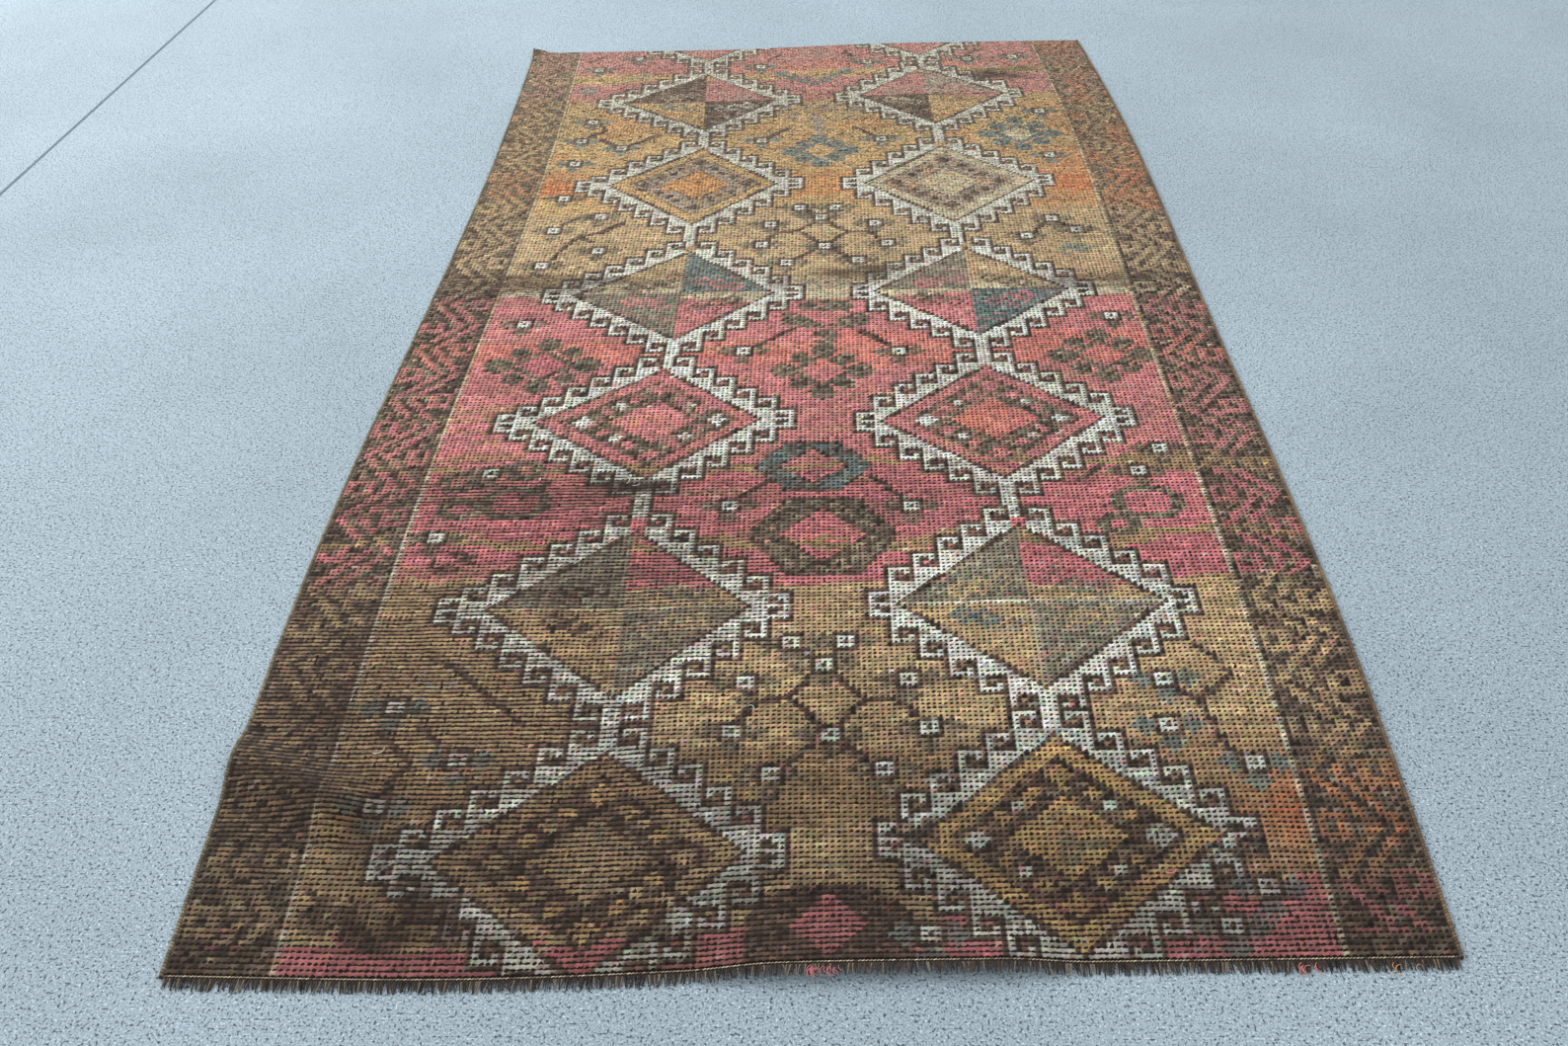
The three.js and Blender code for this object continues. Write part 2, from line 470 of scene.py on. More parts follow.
STAINS = (
    Patch(32, 8, 9, 5, 0.6),
    Patch(24, 24, 4, 7, 0.45),
    Patch(160, 341, 9, 4, 0.95),
    Patch(169, 346, 5, 3, 0.6),
    Patch(59, 116, 8, 2.4, 1.0),
    Patch(12, 52, 7, 4, 0.45),
    Patch(14, 34, 7, 4, 0.5),
    Patch(113, 208, 5, 4, 0.8),
    Patch(103, 207, 6, 2.5, 0.7),
)


class KnotChart:
    """Says what each knot of the pile looks like, in rows from the front and columns from the left."""

    columns = 194
    rows = 372
    border = 16
    vine_repeat = 21.7

    def __init__(self, seed: int = 11) -> None:
        """Draws the whole chart.

        Args:
            seed: Where the randomness of dye, wear and stray knots starts.
        """
        self.rng = np.random.default_rng(seed)
        self.row, self.column = np.mgrid[0 : self.rows, 0 : self.columns]
        self.colour = np.zeros((self.rows, self.columns, 3))
        self.draw_ground()
        self.local = self.colour.copy()
        self.wear = self.patches(WEAR)
        self.draw_lattice()
        self.draw_middle()
        self.draw_sides()
        self.draw_borders()
        self.draw_guards()
        self.age()

    # Painting

    def paint(self, where: Array, yarn: Yarn | None, strength: float = 1.0) -> None:
        """Ties the knots of a mask in a yarn, or in the field's own for None, or blends them towards it."""
        target = self.local[where] if yarn is None else yarn.screen
        self.colour[where] += (target - self.colour[where]) * strength

    def blend(self, share: Array, target: Array) -> None:
        """Moves every knot's colour towards a screen colour, by its own share."""
        self.colour += (target - self.colour) * share[..., None]

    def mottle(
        self,
        where: Array,
        cell: Place,
        least: float,
        yarn: Yarn | None,
        strength: float,
    ) -> None:
        """Blends a mask's knots towards a yarn in smooth random clouds.

        Args:
            where: The mask.
            cell: How many rows and columns one cloud covers.
            least: How strong a cloud has to be to count, between -1 and 1.
            yarn: The yarn, or None for the field's own.
            strength: How far they are blended.
        """
        self.paint(where & (cloudy(where.shape, cell, self.rng) > least), yarn, strength)

    def away(self, column: float, row: float) -> tuple[Array, Array]:
        """How far each knot is from a place, across and along."""
        return np.abs(self.column - column), np.abs(self.row - row)

    def patches(self, patches: Sequence[Patch]) -> Array:
        """How strongly a set of patches covers each knot.

        Args:
            patches: The ovals.

        Returns:
            An array from 0 to 1, ragged at its edges.
        """
        total = np.zeros((self.rows, self.columns))
        ragged = cloudy(total.shape, (2, 9), self.rng) * 0.35 + cloudy(total.shape, (1, 3), self.rng) * 0.3
        for patch in patches:
            away = np.hypot((self.column - patch.column) / patch.wide, (self.row - patch.row) / patch.deep)
            total = np.maximum(total, patch.strength * np.clip(1.35 - away + ragged, 0, 1))
        return np.clip(total, 0, 1)

    def draw_ground(self) -> None:
        """Ties the whole field in dye lots that wander in and out of each other."""
        shape = self.row.shape
        wander = cloudy(shape, (5, 22), self.rng) * 3.2 + cloudy(shape, (1, 5), self.rng) * 1.2
        depth = self.row + wander
        for stripe in STRIPES:
            self.paint(depth >= stripe.row - 4, stripe.yarn)
        last = 4 + 10 * np.clip((self.column - 110) / 20, 0, 1)
        self.paint(self.row < last + 3 * cloudy(shape, (2, 5), self.rng), Yarn.CRIMSON)
        warm = np.zeros(shape)
        for inner, outer, row, deep in ((150, 170, 262, 26), (162, 174, 26, 16), (34, 20, 262, 12)):
            side = np.clip((self.column - inner) / (outer - inner), 0, 1)
            warm = np.maximum(warm, side * np.clip(1 - np.abs(self.row - row) / deep, 0, 1))
        warm = np.clip(warm * 1.2 + 0.25 * cloudy(shape, (3, 8), self.rng), 0, 1) * (warm > 0.02)
        self.blend(0.62 * warm, Yarn.RED_ORANGE.screen)
        self.mottle((self.row > 100) & (self.row < 200), (1.2, 26), 0.62, Yarn.TAN, 0.55)
        self.mottle((self.row > 246) & (self.row < 330), (7, 16), 0.35, Yarn.ORANGE, 0.5)
        self.paint((self.column < 60) & (self.row > 12) & (self.row < 92), Yarn.TAN, 0.35)

    # The lattice of hooked diamonds

    def draw_lattice(self) -> None:
        """Draws every diamond, its hooked edge, its tips and the stem to the next one back."""
        for diamond in DIAMONDS:
            self.draw_stem(diamond)
        for diamond in DIAMONDS:
            self.draw_edge(diamond)
            self.fill(diamond)

    def draw_stem(self, diamond: Diamond) -> None:
        """The thin light stem in front of a diamond."""
        away = np.abs(self.column - diamond.column)
        down = diamond.row - self.row
        stem = (down > 0) & (down < diamond.height + 14)
        self.paint(stem & (away <= 2), Yarn.BARK)
        self.paint(stem & (away <= 1), Yarn.IVORY)

    def draw_edge(self, diamond: Diamond) -> None:
        """The stepped light edge of a diamond, with a latch hook on each step and a comb at each side tip."""
        dark = np.zeros(self.row.shape, bool)
        light = np.zeros(self.row.shape, bool)
        dots = np.zeros(self.row.shape, bool)
        dy = np.abs(self.row - diamond.row)
        for side, wide in ((-1, diamond.left), (1, diamond.right)):
            dx = side * (self.column - diamond.column)
            here = dx >= 0
            steps = range(6, wide + 6, 5)
            for outer in steps[::-1]:
                flat = round(diamond.height * (wide + 7 - outer) / wide)
                block = here & (dx > outer - 5)
                dark |= block & (dx <= outer + 1) & (dy <= flat + 5)
                light |= block & (dx <= outer) & (dy <= flat)
                light |= here & (dx == outer) & (dy <= flat + 4)
                light |= block & (dx <= outer) & (dx >= outer - 3) & (dy == flat + 4)
                light |= here & (dx == outer - 3) & (dy == flat + 3)
                dots |= here & (dx == outer - 2) & (dy == flat + 2)
            tip = steps[-1]
            comb = here & (dx > tip) & (dx <= tip + 5)
            dark |= comb & (dy <= 4)
            light |= comb & (dx == tip + 4) & (dy <= 3)
            light |= comb & (dx <= tip + 4) & (dx != tip + 3) & ((dy == 3) | (dy == 0))
            light |= comb & (dx == tip + 3) & (dy != 1) & (dy <= 3)
        self.paint(dark, Yarn.BARK)
        self.paint(dots, None, 0.7)
        self.paint(light, Yarn.IVORY)

    def shares(self, diamond: Diamond) -> tuple[Array, Array, Array]:
        """How far each knot is from a diamond's middle: across, along, and in all, where 1 is the edge."""
        dx = self.column - diamond.column
        across = np.where(dx < 0, dx / diamond.left, dx / diamond.right)
        along = (self.row - diamond.row) / diamond.height
        return across, along, np.abs(across) + np.abs(along)

    def fill(self, diamond: Diamond) -> None:
        """Fills a diamond with its quarters or with its nested rings."""
        across, along, share = self.shares(diamond)
        self.paint(share < 1.03, Yarn.BARK)
        inside = share < 0.97
        if diamond.filling is Filling.QUARTERED:
            quarters = ((-1, 1), (1, 1), (-1, -1), (1, -1))
            for number, (side, end) in enumerate(quarters):
                here = inside & (across * side >= 0) & (along * end >= 0)
                self.paint(here, diamond.yarns[number])
                if diamond.accents:
                    self.draw_chain(diamond, side, end, diamond.accents[number], here)
            if diamond.divider:
                self.paint(inside & (self.row == diamond.row), diamond.divider, 0.6)
            if diamond.divider is Yarn.IVORY:
                self.paint(inside & (self.column == diamond.column) & (along < 0), Yarn.BEIGE, 0.6)
            return
        outer, ring, heart, star = diamond.yarns
        self.paint(inside, outer)
        self.paint(share < 0.80, Yarn.BARK, 0.7)
        self.paint(share < 0.77, ring)
        self.mottle(share < 0.77, (2, 2), 0.2, Yarn.BARK if ring is not Yarn.BARK else Yarn.OLIVE, 0.5)
        self.mottle(share < 0.77, (2, 2), 0.35, None, 0.6)
        self.paint(share < 0.42, Yarn.BARK, 0.6)
        self.paint(share < 0.39, heart)
        self.mottle(share < 0.3, (2, 3), 0.3, Yarn.SLATE if diamond.row < 60 else Yarn.ORANGE, 0.35)
        stars = [(0.6, 0.0), (0.0, 0.6), (0.42, 0.2), (0.2, 0.42), (0.3, 0.3)]
        for number, (x, y) in enumerate(stars):
            reach_x = np.abs(np.abs(across) - x) * (diamond.left + diamond.right) / 2
            reach_y = np.abs(np.abs(along) - y) * diamond.height
            dot = (reach_x + reach_y <= (2.3 if number < 2 else 1.6)) & (share > 0.45) & (share < 0.77)
            yarn = star if number in (0, 4) or not diamond.accents else diamond.accents[0]
            self.paint(dot, yarn)

    def draw_chain(self, diamond: Diamond, side: int, end: int, yarn: Yarn | None, here: Array) -> None:
        """A small meander of lozenges in one quarter of a diamond, with crumbs of other yarn round it."""
        for number in range(3):
            column = diamond.column + side * (5 + 4 * number)
            row = diamond.row + end * (6 - 1.2 * number)
            away = sum(self.away(column, row))
            self.paint(here & (away > 1.2) & (away <= 2.9), yarn, 0.8)
        self.mottle(here, (1.3, 3), 0.5, yarn, 0.4)

    # Motifs

    def square(self, column: float, row: float, leaf: Yarn = Yarn.OLIVE) -> None:
        """A small dark square with a light heart, and a leaf at three of its sides."""
        dx, dy = self.away(column, row)
        away = np.maximum(dx, dy)
        leaves = (np.abs(dx - 4) + dy <= 2) | (dx + np.abs(row - 4 - self.row) <= 2)
        self.paint(leaves, leaf, 0.8)
        self.paint(away <= 2.5, Yarn.BARK)
        self.paint(away <= 1.5, Yarn.IVORY)
        self.paint(away <= 0.5, Yarn.BARK)

    def line(self, start: Place, stop: Place, yarn: Yarn, wide: float = 0.75) -> None:
        """A thin line of knots from one place to another."""
        self.paint(away_from_line(self.column, self.row, start, stop) <= wide, yarn)

    def octagon(self, column: float, row: float, wide: float, deep: float) -> Array:
        """How far each knot is from an octagon's middle, where 1 is its edge."""
        dx, dy = self.away(column, row)
        dx, dy = dx / wide, dy / deep
        return np.maximum(np.maximum(dx, dy), (dx + dy) / 1.42)

    def ring(self, column: float, row: float, wide: float, deep: float, yarn: Yarn, thick: float) -> None:
        """An octagonal ring of knots, of that thickness in knots."""
        away = self.octagon(column, row, wide, deep)
        self.paint((away <= 1) & (away > 1 - thick / wide), yarn)

    def medallion(self, column: float, row: float, wide: float, deep: float, yarn: Yarn) -> None:
        """A heavy six-sided ring round a lozenge of the field."""
        dx, dy = self.away(column, row)
        dx, dy = dx / wide, dy / deep
        outside = np.maximum(dy, dx + 0.53 * dy)
        lozenge = dx / 0.56 + dy / 0.74
        self.paint(outside <= 1.0, Yarn.BARK)
        self.paint(outside <= 0.94, yarn)
        self.mottle(outside <= 1.0, (2, 2.5), 0.15, Yarn.BARK, 0.55)
        self.paint(lozenge <= 1.08, Yarn.BARK)
        self.paint(lozenge <= 0.95, None)

    def rosette(self, column: float, row: float, size: Place, petal: Yarn, heart: Yarn | None) -> None:
        """Eight petals set in a lozenge round a smaller lozenge."""
        wide, deep = size
        dx, dy = self.column - column, self.row - row
        lozenge = np.abs(dx) / wide + np.abs(dy) / deep
        self.paint(lozenge <= 0.64, petal)
        spots = [(0.78, 0.0, 3.5), (-0.78, 0.0, 3.5), (0.0, 0.8, 3.1), (0.0, -0.8, 3.1)]
        spots += [(x * 0.47, y * 0.5, 2.9) for x in (-1, 1) for y in (-1, 1)]
        for x, y, across in spots:
            px, py = np.abs(dx - x * wide), np.abs(dy - y * deep)
            self.paint(np.minimum(np.maximum(px, py), (px + py) * 0.75) <= across * 0.8, petal)
            self.paint((px <= 0.6) & (py <= 0.6), Yarn.BARK)
        self.paint(lozenge <= 0.46, heart)

    def twig(self, points: Sequence[tuple[float, float]], column: float = 0, row: float = 0) -> None:
        """A bent line from point to point, from a place on the chart."""
        for (x0, y0), (x1, y1) in zip(points[:-1], points[1:]):
            self.line((column + x0, row + y0), (column + x1, row + y1), Yarn.BARK)

    def net(self, column: float, row: float) -> None:
        """An open net of twigs with squares at its joints."""
        for points in NET:
            self.twig(points, column, row)
        for dx, dy in NET_SQUARES:
            self.square(column + dx, row + dy)

    def garland(self, column: float, row: float, yarn: Yarn) -> None:
        """A hanging swag of leaf clusters in a V."""
        for number in range(-3, 4):
            px, py = column + number * 3.7, row - 10 + abs(number) * 3.4
            away = np.hypot(self.column - px, self.row - py)
            self.paint(away <= (2.6 if number % 2 else 1.9), yarn, 0.9)
        self.paint(np.hypot(self.column - column, self.row - row) <= 3, Yarn.GOLD, 0.7)

    def draw_middle(self) -> None:
        """The motifs down the middle of the field."""
        for number, reach in enumerate((15, 11, 7)):
            zigzag = np.abs(np.abs(self.column - MIDDLE) - np.abs(self.row - (368 - 3 * number)))
            here = (np.abs(self.column - MIDDLE) <= reach) & (self.row > 358) & (zigzag <= 0.7)
            self.paint(here, Yarn.MAUVE, 0.75)
        self.garland(98, 347, Yarn.SLATE)
        cluster = self.octagon(99, 313, 14, 8) < 1
        self.mottle(cluster, (2, 2.5), -0.15, Yarn.MAUVE, 0.75)
        self.mottle(cluster, (1.5, 2), 0.4, Yarn.BARK, 0.5)
        self.line((98, 307), (98, 297), Yarn.MAUVE, 1.4)
        self.rosette(98, 283, (11, 11), Yarn.SLATE, None)
        self.net(98, 231)
        palmette = ((100, 190, 7, 3), (100, 182, 11, 2.5), (100, 175, 3, 3.5), (91, 184, 3, 3))
        for column, row, wide, deep in palmette:
            for side in (column, 199 - column):
                self.mottle(self.octagon(side, row, wide, deep) < 1, (2, 2), -0.4, Yarn.OLIVE, 0.9)
        self.paint(sum(self.away(99.5, 184)) < 4, Yarn.ROSE, 0.9)
        self.rosette(99, 160, (11.5, 11), Yarn.OLIVE, None)
        self.medallion(97, 122.5, 13, 8.5, Yarn.SLATE)
        self.medallion(99, 99, 15.5, 12.5, Yarn.OLIVE)
        self.net(99, 54)
        arch = self.octagon(99.5, 4, 13.5, 9.5)
        self.paint(arch < 1, Yarn.BARK)
        self.paint(np.abs(self.column - 99.5) + np.abs(self.row - 6) * 1.1 < 6.2, Yarn.CRIMSON)

    def draw_sides(self) -> None:
        """The motifs between the lattice and the guard stripes, and the whole field's twigs and squares."""
        self.rosette(33, 164, (13.5, 11), Yarn.OLIVE, Yarn.CRIMSON)
        self.rosette(165, 165, (12, 11), Yarn.OLIVE, None)
        self.rosette(160, 293, (13, 12), Yarn.SLATE, Yarn.BEIGE)
        rings = ((36, 111, 7), (165, 108, 7), (25, 109, 4.5), (23, 118, 4), (36, 122, 4), (158, 101, 4))
        for column, row, wide in rings:
            self.ring(column, row, wide, wide * 0.85, Yarn.OLIVE, 2.4)
        self.ring(31, 61, 4.5, 3.5, Yarn.MAUVE, 1.4)
        for points in TWIGS:
            self.twig(points)
        for column, row in SQUARES:
            self.square(column, row, Yarn.SLATE if row > 270 or row < 60 else Yarn.OLIVE)
        spots = (
            (30, 8, 6), (38, 12, 5), (22, 10, 5), (165, 21, 4), (73, 8, 5), (167, 217, 5), (114, 24, 4),
            (27, 92, 5), (22, 335, 4), (40, 348, 4), (160, 348, 4),
        )
        for column, row, wide in spots:
            spot = self.octagon(column, row, wide, wide * 0.8) < 1
            self.mottle(spot, (2, 2), -0.2, Yarn.BARK if row < 200 else Yarn.SLATE, 0.8)

    def draw_borders(self) -> None:
        """The dark borders, each with a doubled vine that zigzags along it and curls in its nooks."""
        for side, start in ((-1, 150), (1, 154)):
            b = self.column - self.columns + self.border if side > 0 else self.border - 1 - self.column
            here = (b >= 0) & (b < self.border)
            self.paint(here, Yarn.BARK)
            self.paint(here, Yarn.OLIVE, 0.3)
            self.mottle(here, (6, 5), 0.0, Yarn.OLIVE, 0.45)
            phase = (self.row - start) / self.vine_repeat % 1
            swing = np.abs(phase - 0.5) * 4 - 1
            away = np.abs(b - 7.6 - 4.0 * swing)
            vine = (away <= 3.2) & (away > 1.0)
            for bend, at in ((0.0, 2.6), (0.5, 12.6)):
                along = ((phase - bend + 0.5) % 1 - 0.5) * self.vine_repeat
                curl = np.maximum(np.abs(b - at), np.abs(along) * 0.8)
                vine |= (curl <= 2.7) & (curl > 1.2) & (along < 2.4)
            vine &= here & (self.row > 3) & (b > 0) & (self.rng.random(self.row.shape) > 0.05)
            self.paint(vine, None, 0.8)
            self.blend(here * np.clip((self.row - 205) / 50, 0, 1) * 0.22, Yarn.TAN.screen)
        self.mottle((self.column > 177) & (self.row > 240), (6, 5), 0.05, Yarn.RED_ORANGE, 0.35)

    def draw_guards(self) -> None:
        """The single light column of knots between each border and the field."""
        for column in (self.border, self.columns - 1 - self.border):
            line = self.column == column
            self.paint(line, Yarn.BEIGE, 0.75)
            self.paint(line & (self.row < 120), Yarn.IVORY, 0.35)
            self.paint(line & (self.rng.random(self.row.shape) > 0.8), Yarn.TAN)

    def age(self) -> None:
        """Mixes stray knots, uneven dye, streaks of wear and stains into the finished drawing, darkens the
        front rows, and pales the back rows as a painted sheen.
        """
        shape = self.row.shape
        stray = self.rng.random(shape) < 0.05
        shifted = np.roll(self.colour, (3, -2), axis=(0, 1))
        self.colour[stray] = 0.5 * self.colour[stray] + 0.5 * shifted[stray]
        flecks = self.rng.random(shape)
        self.paint(flecks < 0.006, Yarn.IVORY, 0.4)
        self.paint((flecks > 0.985) & (self.row < 210), Yarn.ROSE, 0.5)
        shadow = np.clip((0.52 - self.colour.mean(axis=2)) / 0.2, 0, 1)
        tone = 1 + (0.09 + 0.25 * shadow) * self.rng.standard_normal(shape)
        # Darker towards the front end, over the first 56 rows.
        tone *= 1 - 0.25 * np.clip((56 - self.row) / 40, 0, 1)
        tone += 0.07 * cloudy(shape, (1.0, 14), self.rng) + 0.06 * cloudy(shape, (18, 18), self.rng)
        tone += 0.05 * cloudy(shape, (4, 4), self.rng)
        tone += 0.1 * cloudy(shape, (1.0, 9), self.rng) * (self.row < 130)
        tint = 1 + 0.035 * self.rng.standard_normal(shape + (3,))
        self.colour = self.colour * tone[..., None] * tint
        self.blend(0.05 + 0.05 * cloudy(shape, (20, 20), self.rng), np.array([0.66, 0.60, 0.52]))
        self.blend(0.85 * self.patches(STAINS), Yarn.GROUND.screen * 1.15)
        # Painted sheen: from row 200 back the knots are paled towards beige, more so further back, for the
        # haze of low light across the far pile.
        pale = 0.1 + 0.2 * np.clip((self.row - 200) / 140, 0, 1)
        self.blend(pale * (self.row > 200), Yarn.BEIGE.screen)
        self.blend(0.62 * self.wear * (0.5 + 0.5 * self.rng.random(shape)), Yarn.BARK.screen)
        self.colour = np.clip(self.colour, 0.02, 0.95)


# ----------------------------------------------------------------------------
# Mesh helpers
# ----------------------------------------------------------------------------


def mesh_object(name: str, points: Array, faces: Sequence[Array]) -> Thing:
    """Makes an object of a mesh from arrays.

    Args:
        name: The object's name.
        points: The vertices, one a row.
        faces: Arrays of faces, each with one face a row, all of its faces with as many corners.

    Returns:
        The object, smooth shaded, at the origin.
    """
    mesh = bpy.data.meshes.new(name)
    counts = np.concatenate([np.full(len(block), block.shape[1], np.int32) for block in faces])
    corners = np.concatenate([block.ravel() for block in faces]).astype(np.int32)
    mesh.vertices.add(len(points))
    mesh.vertices.foreach_set("co", np.ascontiguousarray(points, np.float32).ravel())
    mesh.loops.add(len(corners))
    mesh.loops.foreach_set("vertex_index", corners)
    mesh.polygons.add(len(counts))
    starts = np.concatenate([[0], np.cumsum(counts)[:-1]]).astype(np.int32)
    mesh.polygons.foreach_set("loop_start", starts)
    mesh.polygons.foreach_set("use_smooth", np.ones(len(counts), bool))
    mesh.update(calc_edges=True)
    obj = bpy.data.objects.new(name, mesh)
    bpy.context.scene.collection.objects.link(obj)
    return obj


def set_colour(obj: Thing, screen: Array, yarn_over_shade: Array | None = None) -> None:
    """Gives each vertex its dye, with the painted shade and sheen mixed into it, from screen colours between
    0 and 1, and how far the yarn covers the painted shade of the gaps there.
    """
    attribute = obj.data.color_attributes.new("DyeAndPaintedLight", "FLOAT_COLOR", "POINT")
    linear = to_linear(screen)
    alpha = np.ones(len(linear)) if yarn_over_shade is None else yarn_over_shade
    rgba = np.concatenate([linear, alpha[:, None]], axis=1).astype(np.float32)
    attribute.data.foreach_set("color", rgba.ravel())


def set_uv(obj: Thing, name: str, places: Array) -> None:
    """Gives a piece a UV map, from one place for each face corner."""
    layer = obj.data.uv_layers.new(name=name)
    layer.data.foreach_set("uv", np.ascontiguousarray(places, np.float32).ravel())


def finish_piece(
    obj: Thing,
    material: bpy.types.Material,
    slot: str,
    node: str | None = None,
) -> Thing:
    """Dresses a piece, makes it ride on the rug, and hides the record's node that it takes the place of.

    Args:
        obj: The piece.
        material: Its finish.
        slot: The record's material slot; not used.
        node: The record's node that it takes the place of, if it does.

    Returns:
        The piece.
    """
    obj.data.materials.clear()
    obj.data.materials.append(material)
    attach(obj, ROOT)
    if node:
        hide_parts(node)
    log.info("%s: %d faces", obj.name, len(obj.data.polygons))
    return obj


def quads(number: Array, turned: bool = False) -> Array:
    """The faces between neighbours in a grid of numbered points.

    Args:
        number: The points' numbers, row by row.
        turned: Whether the faces look the other way, down instead of up.

    Returns:
        One face of four corners a row of the array.
    """
    order = [number[:-1, :-1], number[:-1, 1:], number[1:, 1:], number[1:, :-1]]
    if turned:
        order = [order[0], *order[:0:-1]]
    return np.stack([part.ravel() for part in order], axis=1)


def slab_faces(rows: int, columns: int, step: int = 1) -> list[Array]:
    """The faces of a closed slab, with a grid of points on top and every so many of them repeated below.

    Args:
        rows: How many rows of points are on top.
        columns: How many points are in a row.
        step: How many points on top go to one below.

    Returns:
        The faces on top, the faces below and the walls between them.
    """
    count = rows * columns
    high = np.arange(count).reshape(rows, columns)
    low_rows, low_columns = (rows - 1) // step + 1, (columns - 1) // step + 1
    low = count + np.arange(low_rows * low_columns).reshape(low_rows, low_columns)
    edges = [(high[0], low[0], False), (high[-1], low[-1], True)]
    edges += [(high[:, 0], low[:, 0], True), (high[:, -1], low[:, -1], False)]
    walls = []
    for upper, lower, turned in edges:
        cell = np.arange(len(lower) - 1)
        above = [upper[step * cell + part] for part in range(step, -1, -1)]
        wall = np.stack([lower[cell], lower[cell + 1], *above], axis=1)
        walls.append(wall[:, ::-1] if turned else wall)
    return [quads(high), quads(low, turned=True), np.concatenate(walls)]


# ----------------------------------------------------------------------------
# Finishes
# ----------------------------------------------------------------------------


class Finish:
    """A material's node tree, with short ways to add to it."""

    def __init__(self, name: str, roughness: float, sheen: float = 0.0) -> None:
        """Starts a material with its shader.

        Args:
            name: The material's name.
            roughness: The shader's roughness.
            sheen: How much loose fibre catches the light.
        """
        self.material = bpy.data.materials.new(name)
        self.material.use_nodes = True
        self.nodes = self.material.node_tree.nodes
        self.links = self.material.node_tree.links
        self.shader = self.nodes["Principled BSDF"]
        self.shader.inputs["Roughness"].default_value = roughness
        self.shader.inputs["Specular IOR Level"].default_value = 0.06
        self.shader.inputs["Sheen Weight"].default_value = sheen
        self.shader.inputs["Sheen Roughness"].default_value = 0.6

    def node(self, kind: str, inputs: dict | None = None, **values: object) -> bpy.types.Node:
        """Adds a node and sets its properties and inputs."""
        made = self.nodes.new(kind)
        for key, value in values.items():
            setattr(made, key, value)
        for key, value in (inputs or {}).items():
            if isinstance(value, Socket):
                self.links.new(value, made.inputs[key])
            else:
                made.inputs[key].default_value = value
        return made

    def noise(self, vector: Socket, scale: float, detail: float = 3.0) -> Socket:
        """A noise between 0 and 1 on those coordinates."""
        made = self.node("ShaderNodeTexNoise", {"Vector": vector, "Scale": scale, "Detail": detail})
        return made.outputs["Fac"]

    def place(self) -> Socket:
        """Places on the object, in metres."""
        return self.node("ShaderNodeTexCoord").outputs["Object"]

    def stretched(self, vector: Socket, scale: Sequence[float]) -> Socket:
        """Coordinates scaled along each axis."""
        return self.node("ShaderNodeMapping", {"Vector": vector, "Scale": scale}).outputs["Vector"]

    def ramp(self, value: Socket, old: Place, new: Place, **kind: str) -> Socket:
        """A value moved from one range to another."""
        inputs = {"Value": value, "From Min": old[0], "From Max": old[1], "To Min": new[0], "To Max": new[1]}
        return self.node("ShaderNodeMapRange", inputs, **kind).outputs["Result"]

    def spread(self, value: Socket, low: float, high: float) -> Socket:
        """A noise, which is mostly between 0.3 and 0.7, spread out between two values."""
        return self.ramp(value, (0.3, 0.7), (low, high))

    def math(self, operation: str, first: object, second: object) -> Socket:
        """Arithmetic on two values."""
        return self.node("ShaderNodeMath", {0: first, 1: second}, operation=operation).outputs["Value"]

    def tinted(self, colour: object, factor: Socket) -> Socket:
        """A colour made lighter or darker by a factor."""
        grey = self.node("ShaderNodeCombineColor", {"Red": factor, "Green": factor, "Blue": factor})
        mixed = self.node("ShaderNodeMix", {0: 1.0}, data_type="RGBA", blend_type="MULTIPLY")
        if isinstance(colour, Socket):
            self.links.new(colour, mixed.inputs[6])
        else:
            mixed.inputs[6].default_value = colour
        self.links.new(grey.outputs["Color"], mixed.inputs[7])
        return mixed.outputs[2]

    def bump(self, height: Socket, distance: float, strength: float = 1.0) -> None:
        """Gives the surface a fine relief."""
        inputs = {"Height": height, "Distance": distance, "Strength": strength}
        self.links.new(self.node("ShaderNodeBump", inputs).outputs["Normal"], self.shader.inputs["Normal"])

    def colour(self, socket: Socket) -> None:
        """Sets the surface's colour."""
        self.links.new(socket, self.shader.inputs["Base Color"])


@dataclass(frozen=True)
class WoolPile:
    """Cut wool knots, dyed by the chart, with the ground weave showing in the ragged gaps between them,
    darkened there by painted shade.
    """

    fibre: float = 1500.0
    lump: float = 420.0
    ragged: float = 0.55
    gap: tuple[float, float] = (0.26, 0.62)
    # The gap colour: the ground weave darkened by painted shade deep between the knots.
    ground: Yarn = Yarn.GROUND

    def make(self, name: str) -> bpy.types.Material:
        """The material, under that name."""
        finish = Finish(name, roughness=0.95, sheen=0.1)
        place = finish.place()
        dye = finish.node("ShaderNodeAttribute", attribute_name="DyeAndPaintedLight")
        fibres = finish.noise(finish.stretched(place, (1.0, 0.45, 1.0)), self.fibre, 4.0)
        lumps = finish.noise(place, self.lump, 2.0)
        shade = finish.math("MULTIPLY", finish.spread(fibres, 0.74, 1.24), finish.spread(lumps, 0.88, 1.12))
        fray = finish.math("MULTIPLY", finish.math("SUBTRACT", fibres, 0.5), self.ragged)
        yarn_over_shade = finish.math("ADD", dye.outputs["Alpha"], fray)
        cover = finish.ramp(yarn_over_shade, self.gap, (0, 1), interpolation_type="SMOOTHSTEP")
        wool = finish.tinted(dye.outputs["Color"], shade)
        # Where the yarn's cover runs out the dye gives way to the gap colour, which is painted shade.
        mixed = finish.node("ShaderNodeMix", {0: cover, 7: wool}, data_type="RGBA")
        mixed.inputs[6].default_value = linear_rgba(self.ground.value)
        finish.colour(mixed.outputs[2])
        finish.bump(finish.math("ADD", fibres, lumps), 0.5 * MM, 0.7)
        return finish.material


